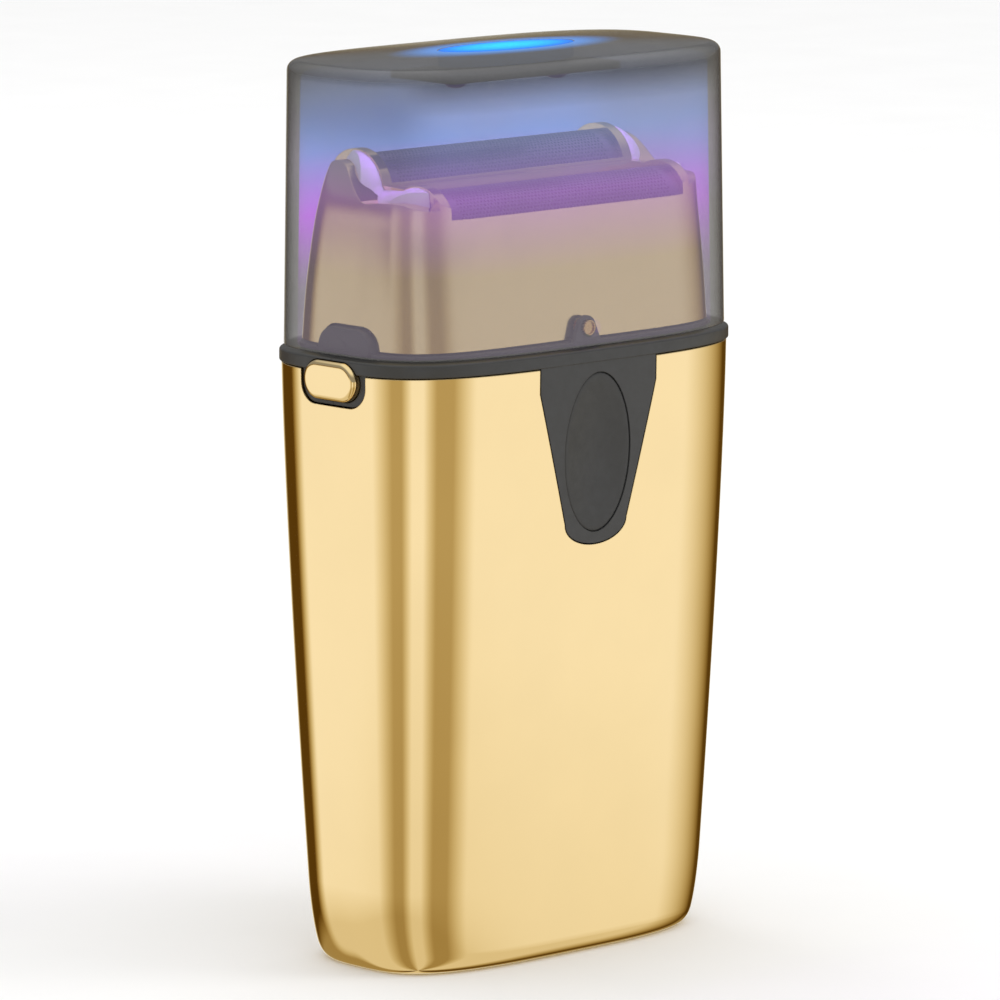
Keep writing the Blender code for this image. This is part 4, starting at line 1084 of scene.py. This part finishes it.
def make_head(plating):
    shell = head_form("shaving_head_shell", 0.0, HEAD_LEVELS[0][0])
    shell.data.materials.append(plating)
    arches = slab("arch_form", arch_outline(RIM_RADIUS, 80.0, (-0.9, 102.9)), "YZ", -35.0, 35.0)
    combine(shell, arches, "INTERSECT")
    cavity = head_form("head_cavity", HEAD_WALL, 81.0, 24, 144)
    inner = slab("cavity_form", arch_outline(RIM_RADIUS - 1.2, 79.0, (-1.2, 99.6)), "YZ", -35.0, 35.0)
    combine(cavity, inner, "INTERSECT")
    combine(cavity, rib_block("rib_keep", 0.0, 97.5))
    combine(shell, cavity)
    reach = FOIL_HALF_LENGTH + 0.05
    combine(shell, slab("foil_slot", slot_outline(), "YZ", -reach, reach))
    for side in (-1, 1):
        combine(shell, slab("scallop", scallop_outline(), "YZ", *on_side(side, RIM_EDGE, THROUGH_END[1])))
        notch = slab("boss_notch", boss_outline(80.0, GAP), "YZ", *on_side(side, *THROUGH_END))
        combine(shell, notch)
    smooth(shell)
    shade_by(shell, head_normal)
    finish_piece(shell, "foil_head", ["head_shell"])


def make_cradle(nylon):
    """The pale frame that holds the foils: domed ends that show outside the gold rims, their pale colour a
    painted highlight of the rim bands' ends, and two rails.
    """
    cradle = block("foil_cradle", (-22.6, -2.2, 93.4), (22.6, -0.4, 96.9), nylon)
    rear_rail = block("rear_rail", (-22.6, 9.3, 89.3), (22.6, 10.7, 94.5))
    for side in (-1, 1):
        rings = []
        for x, radius in ((RIM_EDGE + 0.04, 5.3), (23.0, 5.2), (23.8, 5.0), (24.6, 4.7), (25.3, 4.25),
                          (25.9, 3.7), (26.3, 3.0)):
            drop = RIM_RADIUS - radius
            outline = arch_outline(radius, 89.0, (-0.9 - 0.25 * drop, 102.9 - 2.75 * drop))
            rings.append([(side * x, y, z) for y, z in outline])
        dome = skinned("dome", rings)
        combine(dome, head_form("cradle_limit", HEAD_WALL + 0.1, 82.0, 24, 144), "INTERSECT")
        combine(cradle, dome, "UNION")
    combine(cradle, rear_rail, "UNION")
    finish_piece(smooth(cradle, 40), "foil_head", ["foil_frame"])


def make_foils(metal):
    for name, axis in ARCHES:
        foil = perforated_foil(f"{name}_perforated_foil", axis, metal)
        finish_piece(foil, "foil_head", [f"{name}_foil"])


def perforated_foil(name, axis, metal):
    """A thin arched sheet with staggered holes in its crown and plain margins.

    The sheet is a grid; every cell of the crown holds a six-sided hole, and alternate rows are half a
    cell over.
    """
    pitch, hole = 0.60, 0.19
    first, last = math.radians(14), math.radians(166)
    rows = round((last - first) * FOIL_RADIUS / (pitch * 0.87))
    columns = round(2 * (FOIL_HALF_LENGTH - 1.9) / pitch)
    y0, z0 = axis
    form = bmesh.new()

    def spot(u, v):
        if v < 0:
            return Vector((u, y0 - FOIL_RADIUS, z0 + v)) * MM
        if v > math.pi * FOIL_RADIUS:
            return Vector((u, y0 + FOIL_RADIUS, z0 - (v - math.pi * FOIL_RADIUS))) * MM
        angle = math.pi - v / FOIL_RADIUS
        return Vector((u, y0 + FOIL_RADIUS * math.cos(angle), z0 + FOIL_RADIUS * math.sin(angle))) * MM

    low_v, high_v = first * FOIL_RADIUS, last * FOIL_RADIUS
    step_v = (high_v - low_v) / rows
    half_u = columns * pitch / 2
    lines = []                 # the grid lines between rows of holes, each with a point every half pitch
    count = 2 * columns + 1
    for j in range(rows + 1):
        v = low_v + j * step_v
        lines.append([form.verts.new(spot(-half_u + i * pitch / 2, v)) for i in range(count)])
    for j in range(rows):
        near, far = lines[j], lines[j + 1]
        v = low_v + (j + 0.5) * step_v
        first_cell = 1 if j % 2 else 0
        if first_cell:
            for i in (0, count - 2):
                form.faces.new((near[i], near[i + 1], far[i + 1], far[i]))
        for i in range(first_cell, count - 2, 2):
            u = -half_u + (i + 1) * pitch / 2
            around = [near[i], near[i + 1], near[i + 2], far[i + 2], far[i + 1], far[i]]
            inside = []
            for k in range(6):
                angle = math.radians(-150 + 60 * k)
                inside.append(form.verts.new(spot(u + hole * math.cos(angle), v + hole * math.sin(angle))))
            for k in range(6):
                n = (k + 1) % 6
                form.faces.new((around[k], around[n], inside[n], inside[k]))
    for near_v, far_v in ((low_v, -FOIL_SKIRT), (high_v, math.pi * FOIL_RADIUS + FOIL_SKIRT)):
        for k in range(1, 9):
            v = near_v + (far_v - near_v) * k / 8
            previous = lines[0] if near_v == low_v else lines[-1]
            following = [form.verts.new(spot(-half_u + i * pitch / 2, v)) for i in range(count)]
            for i in range(count - 1):
                form.faces.new((previous[i], previous[i + 1], following[i + 1], following[i]))
            lines.insert(0 if near_v == low_v else len(lines), following)
    for end, side in ((0, -1), (-1, 1)):       # plain margins at both ends
        edge = [line[end] for line in lines]
        outer = [form.verts.new((side * FOIL_HALF_LENGTH * MM, *vertex.co.yz)) for vertex in edge]
        for i in range(len(edge) - 1):
            form.faces.new((edge[i], edge[i + 1], outer[i + 1], outer[i]))
    foil = from_form(name, form, metal)
    step = foil.modifiers.new("thickness", "SOLIDIFY")
    step.thickness = FOIL_THICKNESS * MM
    step.offset = -1.0
    settle(foil)
    return smooth(foil, 40)


# ---------------------------------------------------------------- cap

def cap_half(z, inset=0.0):
    share = (z - CAP_BOTTOM) / (CAP_TOP - CAP_BOTTOM)
    return [low + (high - low) * share - inset for low, high in zip(CAP_HALF_LOW, CAP_HALF_HIGH)]


def crown(share):
    return CAP_RIM + CAP_CROWN * (1 - share * share)


def make_cap(acrylic, lit):
    """The smoked cap: an outer and an inner wall joined at the rim, open at the window."""
    lip = CAP_BOTTOM + 0.2
    rise = CAP_RIM - CAP_EDGE - lip
    rings = [(cap_half(CAP_BOTTOM, 0.2), CAP_BOTTOM), (cap_half(CAP_BOTTOM, 0.05), CAP_BOTTOM + 0.06),
             (cap_half(CAP_BOTTOM), lip)]
    rings += [(cap_half(lip + rise * i / 20), lip + rise * i / 20) for i in range(1, 21)]
    for i in range(1, 9):
        angle = math.radians(90 * i / 8)
        z = CAP_RIM - CAP_EDGE + CAP_EDGE * math.sin(angle)
        rings.append((cap_half(z, CAP_EDGE * (1 - math.cos(angle))), z))
    window = [h + 0.1 for h in WINDOW_HALF]

    def towards_window(edge, share):
        """An outline part of the way from the cap's own to the window's oval."""
        power = COLLAR_POWER + (2.0 - COLLAR_POWER) * share
        return ring(*[e + (w - e) * share for e, w in zip(edge, window)], power)

    outlines = [(ring(*half, COLLAR_POWER), z) for half, z in rings]
    edge = cap_half(CAP_RIM, CAP_EDGE)
    steps = 10
    for i in range(1, steps + 1):
        height = crown(1 - i / steps * (1 - window[0] / edge[0]))
        outlines.append((towards_window(edge, i / steps), height))
    inner_top = CAP_RIM - CAP_WALL
    outlines.append((ring(*window, 2.0), inner_top))
    inner_edge = cap_half(CAP_TOP, CAP_WALL + 1.0)
    outlines += [(towards_window(inner_edge, i / steps), inner_top) for i in range(steps - 1, -1, -1)]
    for i in range(1, 7):
        angle = math.radians(90 * i / 6)
        z = inner_top - 1.0 + math.cos(angle)
        outlines.append((ring(*cap_half(z, CAP_WALL + 1.0 - math.sin(angle)), COLLAR_POWER), z))
    drop = inner_top - 1.0 - CAP_BOTTOM
    for i in range(1, 13):
        z = inner_top - 1.0 - drop * i / 12
        outlines.append((ring(*cap_half(z, CAP_WALL), COLLAR_POWER), z))
    cap = smooth(loft("smoked_cap", outlines, acrylic, chain=True), 50)
    for side in (-1, 1):
        pocket = ring(1.2, 1.2, 2.0, 40, (0.0, CONTACT_HEIGHT))
        combine(cap, slab("pocket", pocket, "XZ", *on_side(side, 15.0, 16.85)))
    smooth(cap, 50)
    # The inner faces take the material with the painted violet and blue glow
    cap.data.materials.append(lit)
    for face in cap.data.polygons:
        centre, z = face.center / MM, face.center.z / MM
        outward = Vector((centre.x, centre.y * 2, 0.0)).dot(face.normal)
        if (outward < 0 and face.normal.z < 0.6) or face.normal.z < -0.6 and z > CAP_BOTTOM + 1:
            face.material_index = 1
    for flag in ("visible_diffuse", "visible_glossy", "visible_shadow"):
        setattr(cap, flag, False)
    finish_piece(cap, "cap", ["cap_shell"])


def make_window(light):
    """The lit lens in the cap's top, gently crowned with a rounded rim."""
    low = CAP_RIM - CAP_WALL + 0.1
    rim = CAP_RIM + 0.4
    rings = [(1.0, low), (1.0, rim)]
    for i in range(1, 6):
        angle = math.radians(90 * i / 5)
        rings.append((1.0 - 0.02 * (1 - math.cos(angle)), rim + 0.1 * math.sin(angle)))
    for i in range(1, 12):
        share = 0.98 * (1 - i / 12)
        rings.append((share, rim + 0.1 + 0.1 * (1 - share * share)))
    outlines = [(ring(WINDOW_HALF[0] * s, WINDOW_HALF[1] * s, 2.0, 128), z) for s, z in rings]
    lens = smooth(loft("light_lens", outlines, light), 50)
    finish_piece(lens, "cap", ["cap_light_window"])


def make_contact_rings(metal):
    """Sprung rings in the cap's wall that press on the handle's contact pins."""
    profile = [(0.82, -16.05), (0.82, -15.95), (0.87, -15.88), (0.96, -15.88), (1.01, -15.95), (1.01, -16.05)]
    for name, side in (("front", 1), ("rear", -1)):
        rings = [[(x, side * y, CONTACT_HEIGHT + z) for x, z in ring(radius, radius, 2.0, 48)]
                 for radius, y in profile]
        contact = smooth(skinned(f"{name}_contact_ring", rings, metal, chain=True), 50)
        finish_piece(contact, "cap", [f"cap_contact_{name}"])


def make_leds(resin):
    for name, x in (("left", -9.0), ("right", 9.0)):
        angles = [math.pi / 2 * (1 - i / 10) for i in range(11)]
        dome = [(1.4 * math.sin(a), 115.1 - 0.55 * math.cos(a)) for a in angles]
        flange = [(0.0, 115.6), (1.8, 115.6), (1.9, 115.52), (1.9, 115.28), (1.8, 115.2), (1.5, 115.2)]
        led = turned(f"violet_led_{name}", flange + dome, (x, 0.0), resin, 40)
        finish_piece(led, "cap", [f"uv_led_{name}"])


def violet_lamps():
    """The LEDs' light on the foils and the head; it rides on the cap."""
    for name, x in (("left", -12.0), ("right", 12.0)):
        spot, aim = [Vector((x, -2.0, z)) * MM for z in (113.5, 90.0)]
        lamp = area_light(f"violet_{name}", spot, aim, 0.02, 0.012, (0.45, 0.12, 1.0))
        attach(lamp, "cap")


# ---------------------------------------------------------------- the CAD pieces that stay

def dress(nodes, material):
    for name in nodes:
        looks = frame["nodes"][name].data.materials
        looks.clear()
        looks.append(material)


def main():
    make_camera()
    make_world()
    make_stage()
    bpy.context.scene.view_settings.view_transform = "Standard"

    plating = gold("gold_plating", 0.06)
    head_plating = gold("head_plating", 0.14)
    plastic = collar_plastic()
    steel = brushed("turned_steel", (0.60, 0.60, 0.62), 0.28)
    brass = brushed("contact_brass", (0.80, 0.52, 0.22), 0.26)
    make_housing(plating)
    make_collar(plastic)
    make_switch(moulded("switch_rubber", (0.034, 0.034, 0.0345), 0.5, 0.006, 3600.0))
    make_buttons(plating)
    make_base(moulded("base_plastic", (0.05, 0.05, 0.052), 0.5))
    make_springs(steel)
    make_cutters(brushed("blade_steel", (0.66, 0.66, 0.69), 0.22))
    make_head(head_plating)
    nylon = moulded("pale_nylon", (0.72, 0.69, 0.76), 0.42, 0.003)
    make_cradle(nylon)
    make_foils(foil_metal())
    make_cap(smoke(), lit_inside())
    make_window(glowing_lens())
    make_leds(led_resin())
    violet_lamps()

    make_contact_rings(brass)
    dress(["motor_end_cap", "drive_bridge"], nylon)
    dress(["uv_board"], moulded("lamp_board", (0.12, 0.12, 0.125), 0.5, 0.003))
    dress(["drive_deck", "motor_mount"], moulded("deck_plastic", (0.045, 0.045, 0.047), 0.45))
    dress(["chassis", "switch_module"], moulded("chassis_plastic", (0.25, 0.26, 0.28), 0.5))
    dress(["drive_seal"], moulded("seal_rubber", (0.028, 0.028, 0.028), 0.75, 0.006, 3000.0))
    dress(["battery"], moulded("battery_sleeve", (0.05, 0.20, 0.42), 0.35, 0.002, 1200.0))
    dress(["circuit_board"], circuit_board())
    dress(["motor_can", "eccentric_shaft", "base_screw_left", "base_screw_right", "deck_screw_left",
           "deck_screw_right", "motor_screw_left", "motor_screw_right"], steel)
    dress(["battery_contact_bottom", "battery_contact_top", "front_contact_pin", "rear_contact_pin"], brass)


main()
